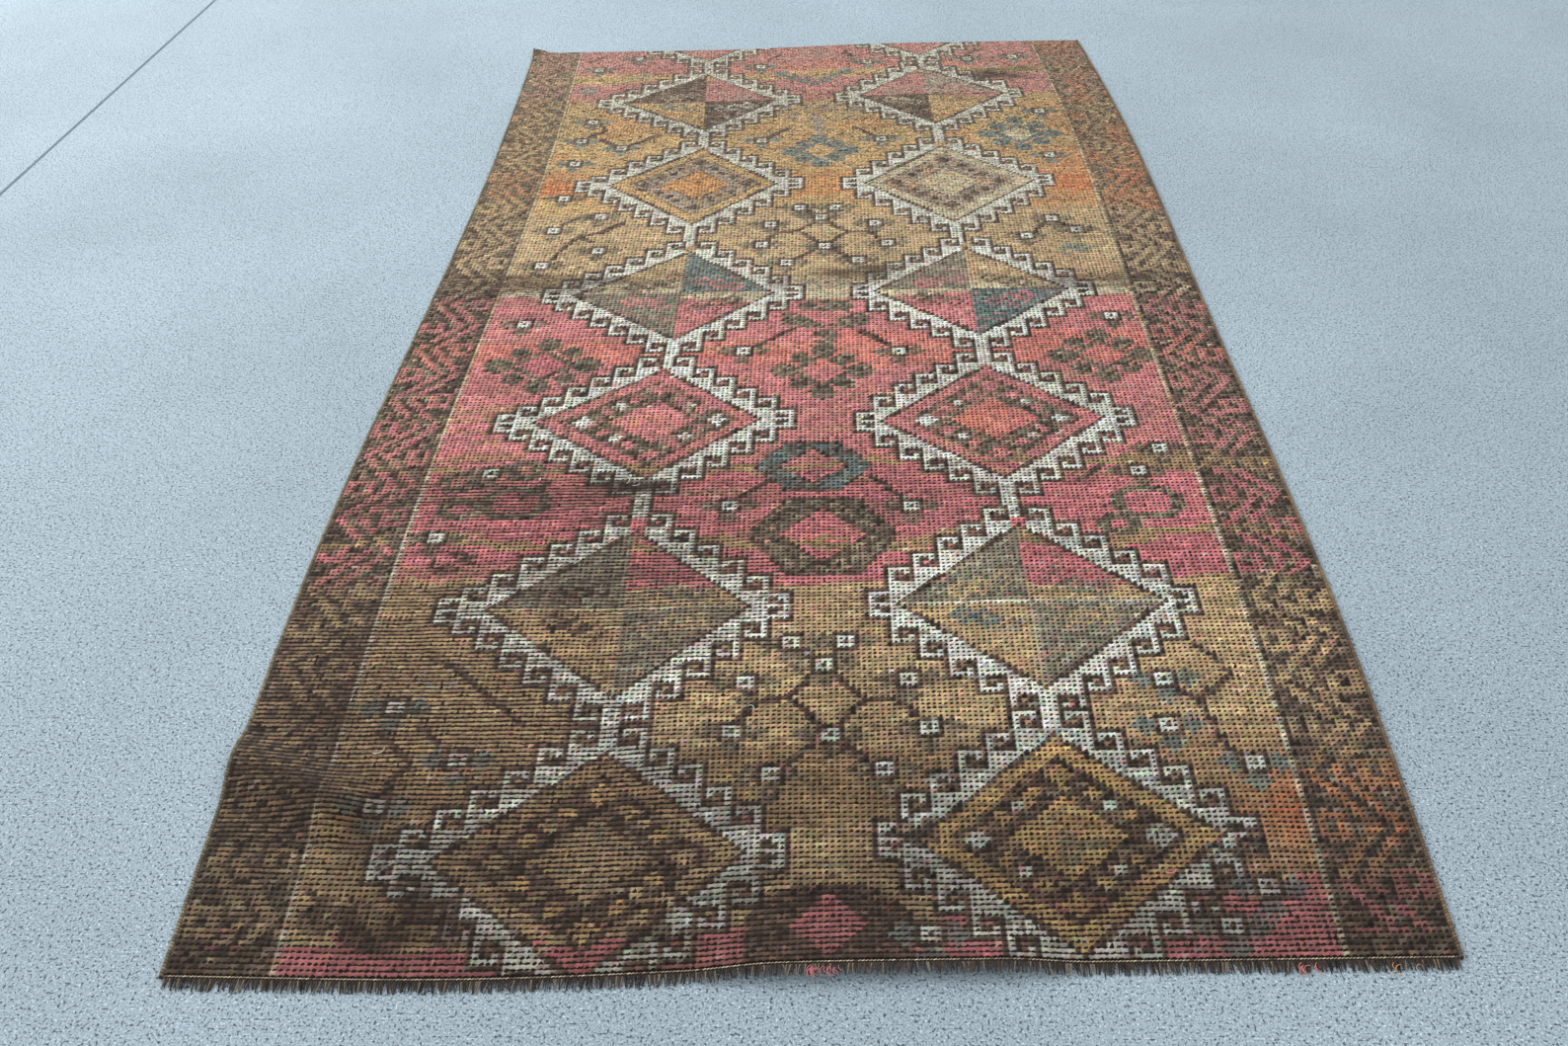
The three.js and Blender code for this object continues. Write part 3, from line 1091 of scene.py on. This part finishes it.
@dataclass(frozen=True)
class Yarns:
    """Spun yarn or thread that carries its own colour: wraps, stitches, fringe strands and loose ends."""

    fibre: float = 1800.0
    sheen: float = 0.2

    def make(self, name: str) -> bpy.types.Material:
        """The material, under that name."""
        finish = Finish(name, roughness=0.9, sheen=self.sheen)
        place = finish.place()
        dye = finish.node("ShaderNodeAttribute", attribute_name="DyeAndPaintedLight").outputs["Color"]
        fibres = finish.noise(place, self.fibre, 4.0)
        finish.colour(finish.tinted(dye, finish.spread(fibres, 0.7, 1.25)))
        finish.bump(fibres, 0.25 * MM, 0.6)
        return finish.material


@dataclass(frozen=True)
class PlainWeave:
    """The ground cloth: wefts beaten down over warps."""

    thread: float = 3.0 * MM
    colour: tuple[int, int, int] = (72, 56, 44)

    def make(self, name: str) -> bpy.types.Material:
        """The material, under that name."""
        finish = Finish(name, roughness=0.95, sheen=0.15)
        place = finish.place()
        turns = math.pi / self.thread
        parts = finish.node("ShaderNodeSeparateXYZ", {"Vector": place})
        warp = finish.math("SINE", finish.math("MULTIPLY", parts.outputs["X"], turns), 0.0)
        weft = finish.math("SINE", finish.math("MULTIPLY", parts.outputs["Y"], turns * 2), 0.0)
        weave = finish.math("MULTIPLY", warp, weft)
        fibres = finish.noise(place, 1300.0, 4.0)
        shade = finish.math("ADD", finish.math("MULTIPLY", weave, 0.18), finish.spread(fibres, 0.75, 1.2))
        finish.colour(finish.tinted(linear_rgba(self.colour), shade))
        finish.bump(finish.math("ADD", weave, fibres), 0.5 * MM, 0.8)
        return finish.material


@dataclass(frozen=True)
class Concrete:
    """The pale floor, with fine grit, and small stones as a scale, a threshold and a shade each."""

    colour: tuple[int, int, int] = (166, 181, 190)
    stones: tuple[tuple[float, float, float], ...] = (
        (330.0, 0.66, 0.3),
        (470.0, 0.69, 0.4),
        (390.0, 0.68, 1.5),
    )

    def make(self, name: str) -> bpy.types.Material:
        """The material, under that name."""
        finish = Finish(name, roughness=0.8)
        place = finish.place()
        grit = finish.noise(place, 520.0, 3.0)
        cloud = finish.noise(place, 2.2, 3.0)
        grain = finish.math("MULTIPLY", finish.spread(grit, 0.62, 1.38), finish.spread(cloud, 0.93, 1.08))
        for scale, least, shade in self.stones:
            stones = finish.noise(place, scale, 0.0)
            spots = finish.ramp(stones, (least, least + 0.05), (1, shade))
            grain = finish.math("MULTIPLY", grain, spots)
        finish.colour(finish.tinted(linear_rgba(self.colour), grain))
        return finish.material


# ----------------------------------------------------------------------------
# The pieces
# ----------------------------------------------------------------------------


@dataclass(frozen=True)
class Strip:
    """A lengthwise strip of the pile: its name, its first and last column, and its node and slot."""

    name: str
    first: int
    last: int
    node: str
    slot: str


@dataclass
class KnottedPile:
    """The pile: one raised tuft for each knot, in lengthwise strips."""

    rug: LaidRug
    chart: KnotChart
    field_strips: int = 7
    base: float = 0.3 * MM
    pile: float = 1.75 * MM
    uneven: float = 0.16
    cuts_across: tuple[float, ...] = (0.0, 0.4, 0.6)
    cuts_along: tuple[float, ...] = (0.0, 0.35, 0.65)
    corner_height: float = 0.55
    side_height: float = 0.75
    row_height: float = 0.05
    fold: int = 4
    seed: int = 5

    def strips(self) -> list[Strip]:
        """The strips, from left to right.

        Returns:
            Both borders, both guard stripes, and the field in equal shares.
        """
        edge, last = self.chart.border, self.chart.columns
        cuts = np.linspace(edge + 1, last - edge - 1, self.field_strips + 1).round().astype(int)
        made = [
            Strip("left_border_knots", 0, edge, "left_border_pile", "border_pile"),
            Strip("left_guard_knots", edge, edge + 1, "left_guard_stripe", "guard_pile"),
            Strip("right_guard_knots", last - edge - 1, last - edge, "right_guard_stripe", "guard_pile"),
            Strip("right_border_knots", last - edge, last, "right_border_pile", "border_pile"),
        ]
        for number, (first, stop) in enumerate(zip(cuts[:-1], cuts[1:]), start=1):
            made.append(Strip(f"field_knots_{number}", int(first), int(stop), "field_pile", "field_pile"))
        return made

    def surface(self) -> Surface:
        """Works out the whole pile's surface, on three lines of points for each row and each column of knots.

        A knot's four inner points are its tuft. The points on its edges are the dips to its neighbours: deep
        between two rows, and shallow between two knots of one row.

        Returns:
            The laid points, their screen colours, how far the yarn covers the painted shade of the gaps
            there, and the places in knots.
        """
        rng = np.random.default_rng(self.seed)
        chart = self.chart
        rows, columns = chart.rows, chart.columns
        u = np.append((np.arange(columns)[:, None] + self.cuts_across).ravel(), columns)
        v = np.append((np.arange(rows)[:, None] + self.cuts_along).ravel(), rows)
        shape = (len(v), len(u))
        row = np.minimum(v.astype(int), rows - 1)
        column = np.minimum(u.astype(int), columns - 1)
        own = np.ix_(row, column)
        on_row = (v == np.round(v))[:, None] & np.ones(shape, bool)
        on_column = (u == np.round(u)) & np.ones(shape, bool)
        worn = chart.wear[own]
        lines = np.clip(worn * 1.3, 0, 0.9)
        dark = (chart.colour.mean(axis=2) < 0.4) * 0.2
        tall = (1 + self.uneven * rng.standard_normal((rows, columns)) - dark)[own] - 0.3 * worn
        height = np.where(on_row & on_column, self.corner_height - 0.45 * lines, 1.0)
        height = np.where(~on_row & on_column, self.side_height + 0.15 * lines, height)
        height = np.where(on_row & ~on_column, self.row_height, height)
        height = height * tall + 0.05 * rng.standard_normal(shape)
        # Painted shade in the dips: the gap colour shows most between two rows, less at a knot's corners and
        # sides, more where the pile is worn, and more from row 190 back.
        back = np.clip((v[:, None] - 190) / 110, 0, 1)
        yarn_over_shade = np.maximum(0.95 + 0.2 * rng.standard_normal((rows, columns)), 0.5)[own] - 0.25 * worn
        yarn_over_shade = yarn_over_shade + 0.16 * rng.standard_normal(shape)
        rough = 0.2 * rng.standard_normal(shape)
        yarn_over_shade = np.where(on_row & on_column, 1.2 - 1.6 * lines - 0.8 * back + rough, yarn_over_shade)
        yarn_over_shade = np.where(~on_row & on_column, 1.1 - 0.7 * back + rough, yarn_over_shade)
        yarn_over_shade = np.where(on_row & ~on_column, -0.55 + rough, yarn_over_shade)
        colour = chart.colour[own] * (1 + 0.05 * rng.standard_normal(shape))[..., None]
        inner_u = ~on_column * (0.05 * rng.standard_normal(shape))
        inner_v = ~on_row * (0.06 * rng.standard_normal(shape))
        ends = np.minimum(1, np.minimum(v, rows - v) / 6)[:, None]
        sway = 0.32 * cloudy(shape, (60, 45), rng) * ends + 0.12 * cloudy(shape, (9, 12), rng) * ends
        places = np.stack([u + inner_u, v[:, None] + inner_v + sway], axis=-1)
        x, y = self.flat_places(places)
        z = self.rug.pile_low + self.base + self.pile * np.clip(height, 0.05, 1.3)
        return self.rug.lay(x, y, z), colour, np.clip(yarn_over_shade, -1, 1.4), places

    def folded(self, across: Array, along: Array, knots: int) -> Array:
        """Folds a long strip into lengths side by side on a square map.

        Args:
            across: Places across the strip, in knots.
            along: Places along it, in knots, one for each corner of each face.
            knots: The strip's width in knots.

        Returns:
            A place on the map for each face corner.
        """
        length = self.chart.rows / self.fold
        turn = np.minimum((along.mean(axis=1) // length).astype(int), self.fold - 1)[:, None]
        spot_x = (turn + 0.02 + 0.96 * np.clip(across / knots, 0, 1)) / self.fold
        spot_y = 0.06 + 0.93 * np.clip((along - turn * length) / length, 0, 1)
        return np.stack([spot_x.ravel(), spot_y.ravel()], axis=1)

    def build_strip(self, strip: Strip, surface: Surface) -> Thing:
        """Builds one strip as a closed mesh.

        Args:
            strip: Which part of the pile it is.
            surface: The whole pile's surface.

        Returns:
            The strip.
        """
        cut = len(self.cuts_across)
        lines = slice(cut * strip.first, cut * strip.last + 1)
        top, tint, yarn_over_shade, place = (part[:, lines] for part in surface)
        rows, columns = top.shape[:2]
        across, along = self.flat_places(place[::cut, ::cut])
        low = self.rug.lay(across, along, self.rug.pile_low).reshape(-1, 3)
        faces = slab_faces(rows, columns, cut)
        obj = mesh_object(strip.name, np.concatenate([top.reshape(-1, 3), low]), faces)
        dark = np.broadcast_to(Yarn.GROUND.screen, low.shape)
        cover = np.concatenate([yarn_over_shade.ravel(), np.zeros(len(low))])
        set_colour(obj, np.concatenate([tint.reshape(-1, 3), dark]), cover)
        place = place.reshape(-1, 2)[faces[0]]
        mapped = self.folded(place[..., 0] - strip.first, place[..., 1], strip.last - strip.first)
        rest = sum(block.size for block in faces[1:])
        spare = np.stack([np.linspace(0.01, 0.99, rest), np.full(rest, 0.02)], axis=1)
        spare[1::2, 1] = 0.03
        set_uv(obj, "OFBake", np.concatenate([mapped, spare]))
        return obj

    def flat_places(self, place: Array) -> tuple[Array, Array]:
        """Places in knots as places across and along the flat rug."""
        rug, rows = self.rug, self.chart.rows
        first, last = rug.front + rug.end_strip, rug.back - rug.end_strip
        across = -rug.side + place[..., 0] * 2 * rug.side / self.chart.columns
        return across, first + np.clip(place[..., 1], 0, rows) * (last - first) / rows

    def build(self) -> list[Thing]:
        """Builds and dresses every strip.

        Returns:
            The strips.
        """
        surface = self.surface()
        material = WoolPile().make("cut wool pile")
        return [
            finish_piece(self.build_strip(strip, surface), material, strip.slot, strip.node)
            for strip in self.strips()
        ]


@dataclass
class GroundWeave:
    """The cloth of warps and wefts that the knots are tied on."""

    rug: LaidRug
    cell: float = 12 * MM

    def build(self) -> Thing:
        """Builds the cloth as a closed sheet.

        Returns:
            The cloth.
        """
        rug = self.rug
        xs = np.linspace(-rug.side, rug.side, round(2 * rug.side / self.cell) + 1)
        ys = np.linspace(rug.front, rug.back, round((rug.back - rug.front) / self.cell) + 1)
        grid_x, grid_y = np.meshgrid(xs, ys)
        top = rug.lay(grid_x, grid_y, rug.ground_thickness)
        low = rug.lay(grid_x, grid_y, 0.0)
        vertices = np.concatenate([top.reshape(-1, 3), low.reshape(-1, 3)])
        obj = mesh_object("ground_cloth", vertices, slab_faces(*grid_x.shape))
        return finish_piece(obj, PlainWeave().make("ground weave"), "ground_wool", "ground_weave")


class Side(Enum):
    """The two sides of the rug."""

    LEFT = -1
    RIGHT = 1


@dataclass
class Selvedge:
    """One side's edge: a core of bundled warps with yarn overcast round it."""

    rug: LaidRug
    side: Side
    wrap_pitch: float = 3.2 * MM
    rings: int = 5
    round: int = 10
    wall: float = 0.9 * MM
    lean: float = 1.1 * MM
    core_share: float = 0.8
    core_step: float = 8 * MM
    seed: int = 21

    @property
    def name(self) -> str:
        """The side in words."""
        return self.side.name.lower()

    def tube(self, name: str, ys: Array, radius: Array, slant: float) -> Thing:
        """Builds a closed cord down the side.

        Args:
            name: The piece's name.
            ys: Where its rings are along the flat rug.
            radius: Each ring's points' distance from the middle.
            slant: How far each ring leans along the cord from its inner to its outer side.

        Returns:
            The cord, with its ends closed.
        """
        rug = self.rug
        centre = self.side.value * (rug.width / 2 - rug.selvedge / 2)
        angle = -2 * math.pi * np.arange(self.round) / self.round
        x = centre + radius * np.cos(angle)[None, :]
        z = rug.selvedge / 2 + radius * np.sin(angle)[None, :]
        y = np.clip(ys[:, None] + slant * np.sin(angle)[None, :], rug.front, rug.back)
        points = rug.lay(x, y, z)
        rows, columns = points.shape[:2]
        number = np.arange(rows * columns).reshape(rows, columns)
        number = np.concatenate([number, number[:, :1]], axis=1)
        ends = np.stack([number[0, :-1][::-1], number[-1, :-1]])
        return mesh_object(name, points.reshape(-1, 3), [quads(number), ends])

    def build(self) -> list[Thing]:
        """Builds and dresses the core and its wrap.

        Returns:
            The two pieces.
        """
        rng = np.random.default_rng(self.seed + self.side.value)
        rug = self.rug
        length = rug.back - rug.front
        turns = int(length / self.wrap_pitch)
        ys = np.linspace(rug.front, rug.back, turns * self.rings + 1)
        phase = np.arange(len(ys)) % self.rings / self.rings
        turn = np.minimum(np.arange(len(ys)) // self.rings, turns - 1)
        swell = np.abs(np.sin(math.pi * phase))
        uneven = 0.05 * rng.standard_normal(turns)[turn]
        radius = rug.selvedge / 2 * (0.82 + 0.15 * swell + uneven)
        radius = np.clip(radius, 0, rug.selvedge / 2)
        wrap = self.tube(f"{self.name}_overcast_yarn", ys, radius[:, None], self.lean)
        left = self.side is Side.LEFT
        light = (Yarn.STRAW if left else Yarn.FAWN).screen
        dark = (Yarn.MOSS if left else Yarn.PEAT).screen
        mix = 0.5 + 0.5 * cloudy((turns, 1), (14, 1), rng)[:, 0] + 0.3 * rng.standard_normal(turns)
        mix = np.clip(mix, 0, 1)
        # Painted shade: each turn of the wrap is darkened towards its ends, to 0.55 in the grooves between
        # turns.
        tint = (dark + (light - dark) * mix[:, None])[turn] * (0.55 + 0.45 * swell)[:, None]
        set_colour(wrap, np.repeat(tint, self.round, axis=0))
        yarn = Yarns().make(f"{self.name} overcast yarn")
        finish_piece(wrap, yarn, "selvedge_yarn", f"{self.name}_selvedge_wrap")
        core_ys = np.linspace(rug.front, rug.back, int(length / self.core_step))
        thin = (rug.selvedge / 2 - self.wall - rug.gap) * self.core_share
        core = self.tube(f"{self.name}_warp_bundle", core_ys, np.full((len(core_ys), 1), thin), 0.0)
        set_colour(core, np.tile(Yarn.GROUND.screen, (len(core.data.vertices), 1)))
        yarn = Yarns().make(f"{self.name} warp bundle")
        finish_piece(core, yarn, "ground_wool", f"{self.name}_selvedge_core")
        return [wrap, core]


class End(Enum):
    """The two ends of the rug."""

    FRONT = -1
    BACK = 1


def template(name: str, sides: int, rings: int, taper: float) -> tuple[Array, list[tuple[int, ...]]]:
    """Models one short length of yarn, a unit long and a unit across, from a cylinder with its tip drawn in.

    Args:
        name: What to call it while it is made.
        sides: How many sides it has.
        rings: How many cuts run round it.
        taper: The tip's width as a share of the root's.

    Returns:
        Its vertices, with z from 0 at the root to 1 at the tip, and its faces.
    """
    bpy.ops.object.select_all(action="DESELECT")
    bpy.ops.mesh.primitive_cylinder_add(vertices=sides, radius=0.5, depth=1, location=(0, 0, 0.5))
    obj = bpy.context.object
    obj.name = name
    bpy.ops.object.mode_set(mode="EDIT")
    for number in range(1, rings + 1):
        bpy.ops.mesh.select_all(action="SELECT")
        bpy.ops.mesh.bisect(plane_co=(0, 0, number / (rings + 1)), plane_no=(0, 0, 1))
    bpy.ops.mesh.select_all(action="DESELECT")
    bpy.ops.object.mode_set(mode="OBJECT")
    bpy.ops.object.transform_apply(location=True, rotation=True, scale=True)
    points = np.array([vertex.co for vertex in obj.data.vertices])
    faces = [tuple(face.vertices) for face in obj.data.polygons]
    bpy.data.objects.remove(obj)
    narrow = 1 - (1 - taper) * points[:, 2:] ** 2
    points[:, :2] *= narrow
    return points, faces


def copies(
    name: str,
    shape: tuple[Array, list[tuple[int, ...]]],
    bend: Callable[[int, Array], Array],
    tints: Array,
) -> Thing:
    """Joins many bent copies of one length of yarn into a piece.

    Args:
        name: The piece's name.
        shape: The length's vertices and faces.
        bend: Puts a copy's vertices in place, from its number and the plain vertices.
        tints: A screen colour for each copy.

    Returns:
        The piece.
    """
    points, faces = shape
    by_size: dict[int, list[tuple[int, ...]]] = {}
    for face in faces:
        by_size.setdefault(len(face), []).append(face)
    placed = np.concatenate([bend(number, points) for number in range(len(tints))])
    steps = (np.arange(len(tints)) * len(points))[:, None, None]
    blocks = [(np.array(same)[None] + steps).reshape(-1, size) for size, same in by_size.items()]
    obj = mesh_object(name, placed, blocks)
    set_colour(obj, np.repeat(tints, len(points), axis=0))
    return obj


@dataclass
class EndFinish:
    """One end: a line of stitches, and the fringe of cut warp ends past it."""

    rug: LaidRug
    end: End
    strand_pitch: float = 1.7 * MM
    strand_width: float = 1.5 * MM
    stitch_pitch: float = 3.4 * MM
    stitch_width: float = 0.9 * MM
    stitch_lean: float = 0.9 * MM
    stitch_bed: float = 0.45 * MM
    stitch_hump: float = 0.35 * MM
    strand_root: float = 1.3 * MM
    strand_tip: float = 0.75 * MM
    strand_rise: float = 0.5 * MM
    seed: int = 31

    @property
    def name(self) -> str:
        """The end in words."""
        return self.end.name.lower()

    @property
    def edge(self) -> float:
        """Where the ground weave stops, along the flat rug."""
        return self.rug.front if self.end is End.FRONT else self.rug.back

    def build(self) -> list[Thing]:
        """Builds and dresses the stitches and the fringe.

        Returns:
            The two pieces.
        """
        rng = np.random.default_rng(self.seed + self.end.value)
        return [self.build_stitches(rng), self.build_fringe(rng)]

    def build_stitches(self, rng: np.random.Generator) -> Thing:
        """The light thread that is sewn along the end, stitch by stitch."""
        rug = self.rug
        middle = self.edge - self.end.value * rug.end_strip / 2
        half = rug.side
        count = int(2 * half / self.stitch_pitch)
        shape = template("stitch", 6, 3, 1.0)

        def bend(number: int, plain: Array) -> Array:
            share = plain[:, 2]
            x = -half + (number + 0.06 + 0.88 * share) * 2 * half / count
            y = middle + (share - 0.5) * self.stitch_lean + plain[:, 0] * self.stitch_width
            hump = np.sin(math.pi * share) * self.stitch_hump
            z = rug.pile_low + self.stitch_bed + hump + plain[:, 1] * self.stitch_width * 0.8
            return rug.lay(x, y, np.maximum(z, rug.pile_low))

        thread = Yarn.THREAD if self.end is End.FRONT else Yarn.DIRTY_THREAD
        tints = thread.screen * (1 + 0.14 * rng.standard_normal((count, 1)))
        tints[rng.random(count) < 0.12] *= 0.6
        obj = copies(f"{self.name}_stitches", shape, bend, tints)
        finish = Yarns(sheen=0.1).make(f"{self.name} sewing thread")
        return finish_piece(obj, finish, "stitching_thread", f"{self.name}_end_stitching")

    def build_fringe(self, rng: np.random.Generator) -> Thing:
        """The cut warp ends, each a little bent and none quite as long as the next."""
        rug = self.rug
        reach = rug.front_fringe if self.end is End.FRONT else rug.back_fringe
        half = rug.width / 2 - rug.selvedge
        count = int(2 * half / self.strand_pitch)
        shape = template("strand", 6, 4, 0.55)
        lengths = reach * np.clip(0.86 + 0.12 * rng.standard_normal(count), 0.45, 1.0)
        if self.end is End.BACK:
            lengths = np.where(rng.random(count) < 0.03, reach, lengths * 0.75)
        sway = 0.10 * cloudy((count, 1), (9, 1), rng)[:, 0] + 0.16 * rng.standard_normal(count)
        rise = self.strand_rise * rng.random(count)
        wide = self.strand_width * rng.uniform(0.7, 1.15, count)

        def bend(number: int, plain: Array) -> Array:
            share = plain[:, 2]
            root = -half + (number + 0.5) * 2 * half / count
            out = share * lengths[number]
            x = root + sway[number] * out - self.end.value * plain[:, 0] * wide[number]
            y = self.edge + self.end.value * out
            thick = plain[:, 1] * wide[number] * 0.9
            z = self.strand_root * (1 - share) + self.strand_tip + rise[number] * share + thick
            return rug.lay(x, y, np.maximum(z, 0.05 * MM))

        tints = Yarn.WARP.screen * (1 + 0.22 * rng.standard_normal((count, 1)))
        tints[rng.random(count) < 0.16] = Yarn.PALE_WARP.screen
        obj = copies(f"{self.name}_warp_ends", shape, bend, np.clip(tints, 0.08, 0.8))
        finish = Yarns(sheen=0.1).make(f"{self.name} warp ends")
        return finish_piece(obj, finish, "fringe_wool", f"{self.name}_fringe")


@dataclass(frozen=True)
class LooseEnd:
    """A loose end of yarn: its place and direction on the flat rug, its length, its width and its yarn."""

    x: float
    y: float
    turn: float
    length: float
    width: float
    yarn: Yarn


@dataclass(frozen=True)
class Tuft:
    """A few fibres pulled out past the front end at one place across the rug."""

    x: float
    yarn: Yarn
    count: int


@dataclass
class LooseEnds:
    """A few loose ends of yarn and fluff on the pile and in the fringe."""

    rug: LaidRug
    pile_top: float = 5.0 * MM
    fringe_top: float = 2.0 * MM
    hump: float = 1.2 * MM
    curl: float = 2.4
    fluff: float = 0.7 * MM
    ends: tuple[LooseEnd, ...] = (
        LooseEnd(-0.448, -0.836, 0.6, 0.016, 0.9 * MM, Yarn.IVORY),
        LooseEnd(-0.232, -0.400, 1.9, 0.020, 0.9 * MM, Yarn.IVORY),
        LooseEnd(-0.224, -0.404, 0.4, 0.012, 0.8 * MM, Yarn.IVORY),
        LooseEnd(-0.060, -0.786, 2.6, 0.010, 0.8 * MM, Yarn.IVORY),
        LooseEnd(0.336, -0.998, 0.4, 0.014, 1.6 * MM, Yarn.CRIMSON),
        LooseEnd(0.390, 0.918, 1.2, 0.030, 1.4 * MM, Yarn.BARK),
        LooseEnd(0.376, 0.912, 2.8, 0.024, 1.2 * MM, Yarn.BARK),
    )
    tufts: tuple[Tuft, ...] = (
        Tuft(0.012, Yarn.CRIMSON, 16),
        Tuft(0.447, Yarn.SALMON, 7),
        Tuft(0.540, Yarn.ORANGE, 4),
    )
    seed: int = 41

    def spread(self) -> list[LooseEnd]:
        """The loose ends, with tufts of fluff pulled out past the front fringe.

        Returns:
            All of them.
        """
        rng = np.random.default_rng(self.seed)
        made = list(self.ends)
        for tuft in self.tufts:
            for _ in range(tuft.count):
                x = tuft.x + 0.007 * rng.standard_normal()
                y = self.rug.front - rng.uniform(0.001, 0.006)
                turn, length = rng.uniform(-2.3, -0.8), rng.uniform(0.008, 0.015)
                made.append(LooseEnd(x, y, turn, length, self.fluff, tuft.yarn))
        return made

    def build(self) -> Thing:
        """Builds and dresses the loose ends as one piece.

        Returns:
            The piece.
        """
        shape = template("loose end", 6, 7, 0.6)
        ends = self.spread()

        def bend(number: int, plain: Array) -> Array:
            end = ends[number]
            share = plain[:, 2]
            curl = end.turn + self.curl * (share - 0.5)
            start = end.turn - self.curl / 2
            middle_x = end.x + end.length * (np.sin(curl) - math.sin(start)) / self.curl
            middle_y = end.y - end.length * (np.cos(curl) - math.cos(start)) / self.curl
            x = middle_x - np.sin(curl) * plain[:, 0] * end.width
            y = middle_y + np.cos(curl) * plain[:, 0] * end.width
            bed = self.pile_top if end.y > self.rug.front else self.fringe_top
            z = bed + self.hump * np.sin(math.pi * share) + plain[:, 1] * end.width
            return self.rug.lay(x, y, z)

        tints = np.array([end.yarn.screen for end in ends]) * 1.05
        obj = copies("loose_yarn_ends", shape, bend, np.clip(tints, 0, 1))
        return finish_piece(obj, Yarns().make("loose yarn"), "field_pile")


# ----------------------------------------------------------------------------
# The studio
# ----------------------------------------------------------------------------


@dataclass(frozen=True)
class Window:
    """Daylight from one side: its place, its turn and tilt in degrees, its power and its size."""

    x: float
    y: float
    turn: float
    power: float
    height: float = 2.9
    tilt: float = -50.0
    wide: float = 4.6
    high: float = 2.6


@dataclass
class Studio:
    """The floor, the light and the camera."""

    floor_size: float = 14.0
    joint_place: tuple[float, float, float] = (-1.42, 1.2, 0.0)
    joint_size: tuple[float, float, float] = (0.006, 9.0, 0.001)
    joint_turn: float = -3.0
    joint_colour: tuple[int, int, int] = (112, 126, 136)
    camera_place: tuple[float, float, float] = (-0.0018, -1.7062, 1.0765)
    camera_turn: tuple[float, float, float] = (48.770, 0.795, 0.659)
    lens: float = 29.706
    sky: tuple[float, float, float] = (0.93, 0.97, 1.0)
    sky_strength: float = 0.7
    windows: tuple[Window, ...] = (Window(-3.5, 1.7, 64.0, 185.0), Window(2.6, 3.9, -33.0, 60.0))

    def build(self) -> None:
        """Makes all of it."""
        self.build_floor()
        self.build_light()
        self.build_camera()

    def build_floor(self) -> None:
        """A plain pale floor with one joint in it, which is not part of the rug."""
        bpy.ops.object.select_all(action="DESELECT")
        bpy.ops.mesh.primitive_plane_add(size=self.floor_size, location=(0, 0, 0))
        floor = bpy.context.object
        floor.name = "floor"
        floor.data.materials.append(Concrete().make("pale concrete"))
        bpy.ops.mesh.primitive_cube_add(size=1, location=self.joint_place)
        joint = bpy.context.object
        joint.name = "floor joint"
        joint.scale = self.joint_size
        joint.rotation_euler = (0, 0, math.radians(self.joint_turn))
        bpy.ops.object.transform_apply(location=True, rotation=True, scale=True)
        joint.data.materials.append(Concrete(colour=self.joint_colour).make("joint in the concrete"))
        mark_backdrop(floor, joint)

    def build_light(self) -> None:
        """Soft daylight from all round, a wide window on the left and a weaker one behind on the right."""
        world = bpy.data.worlds.new("daylight")
        world.use_nodes = True
        background = world.node_tree.nodes["Background"]
        background.inputs["Color"].default_value = (*self.sky, 1.0)
        background.inputs["Strength"].default_value = self.sky_strength
        bpy.context.scene.world = world
        for window in self.windows:
            data = bpy.data.lights.new("window", "AREA")
            data.shape = "RECTANGLE"
            data.size = window.wide
            data.size_y = window.high
            data.energy = window.power
            lamp = bpy.data.objects.new("window", data)
            lamp.location = (window.x, window.y, window.height)
            lamp.rotation_euler = (math.radians(window.tilt), 0, math.radians(window.turn))
            bpy.context.scene.collection.objects.link(lamp)

    def build_camera(self) -> None:
        """A camera held by a person who stands at the rug's front end."""
        data = bpy.data.cameras.new("camera")
        data.sensor_fit = "HORIZONTAL"
        data.sensor_width = 36
        data.lens = self.lens
        data.clip_end = 50
        camera = bpy.data.objects.new("camera", data)
        camera.location = self.camera_place
        camera.rotation_euler = tuple(math.radians(angle) for angle in self.camera_turn)
        bpy.context.scene.collection.objects.link(camera)
        bpy.context.scene.camera = camera


def corners(box: tuple) -> list[list[float]]:
    """A box's two corners as plain lists."""
    return [[float(value) for value in corner] for corner in box]


def main() -> None:
    """Builds the rug piece by piece and sets the scene."""
    logging.basicConfig(level=logging.INFO, format="%(message)s")
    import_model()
    cad_box = corners(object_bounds())
    bpy.context.scene.view_settings.view_transform = "Standard"
    Studio().build()
    rug = LaidRug()
    cloth = GroundWeave(rug).build()
    pieces = KnottedPile(rug, KnotChart()).build()
    for side in Side:
        pieces += Selvedge(rug, side).build()
    for end in End:
        pieces += EndFinish(rug, end).build()
    pieces.append(LooseEnds(rug).build())
    {"cad": cad_box, "visual": corners(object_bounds())}


if __name__ == "__main__":
    main()
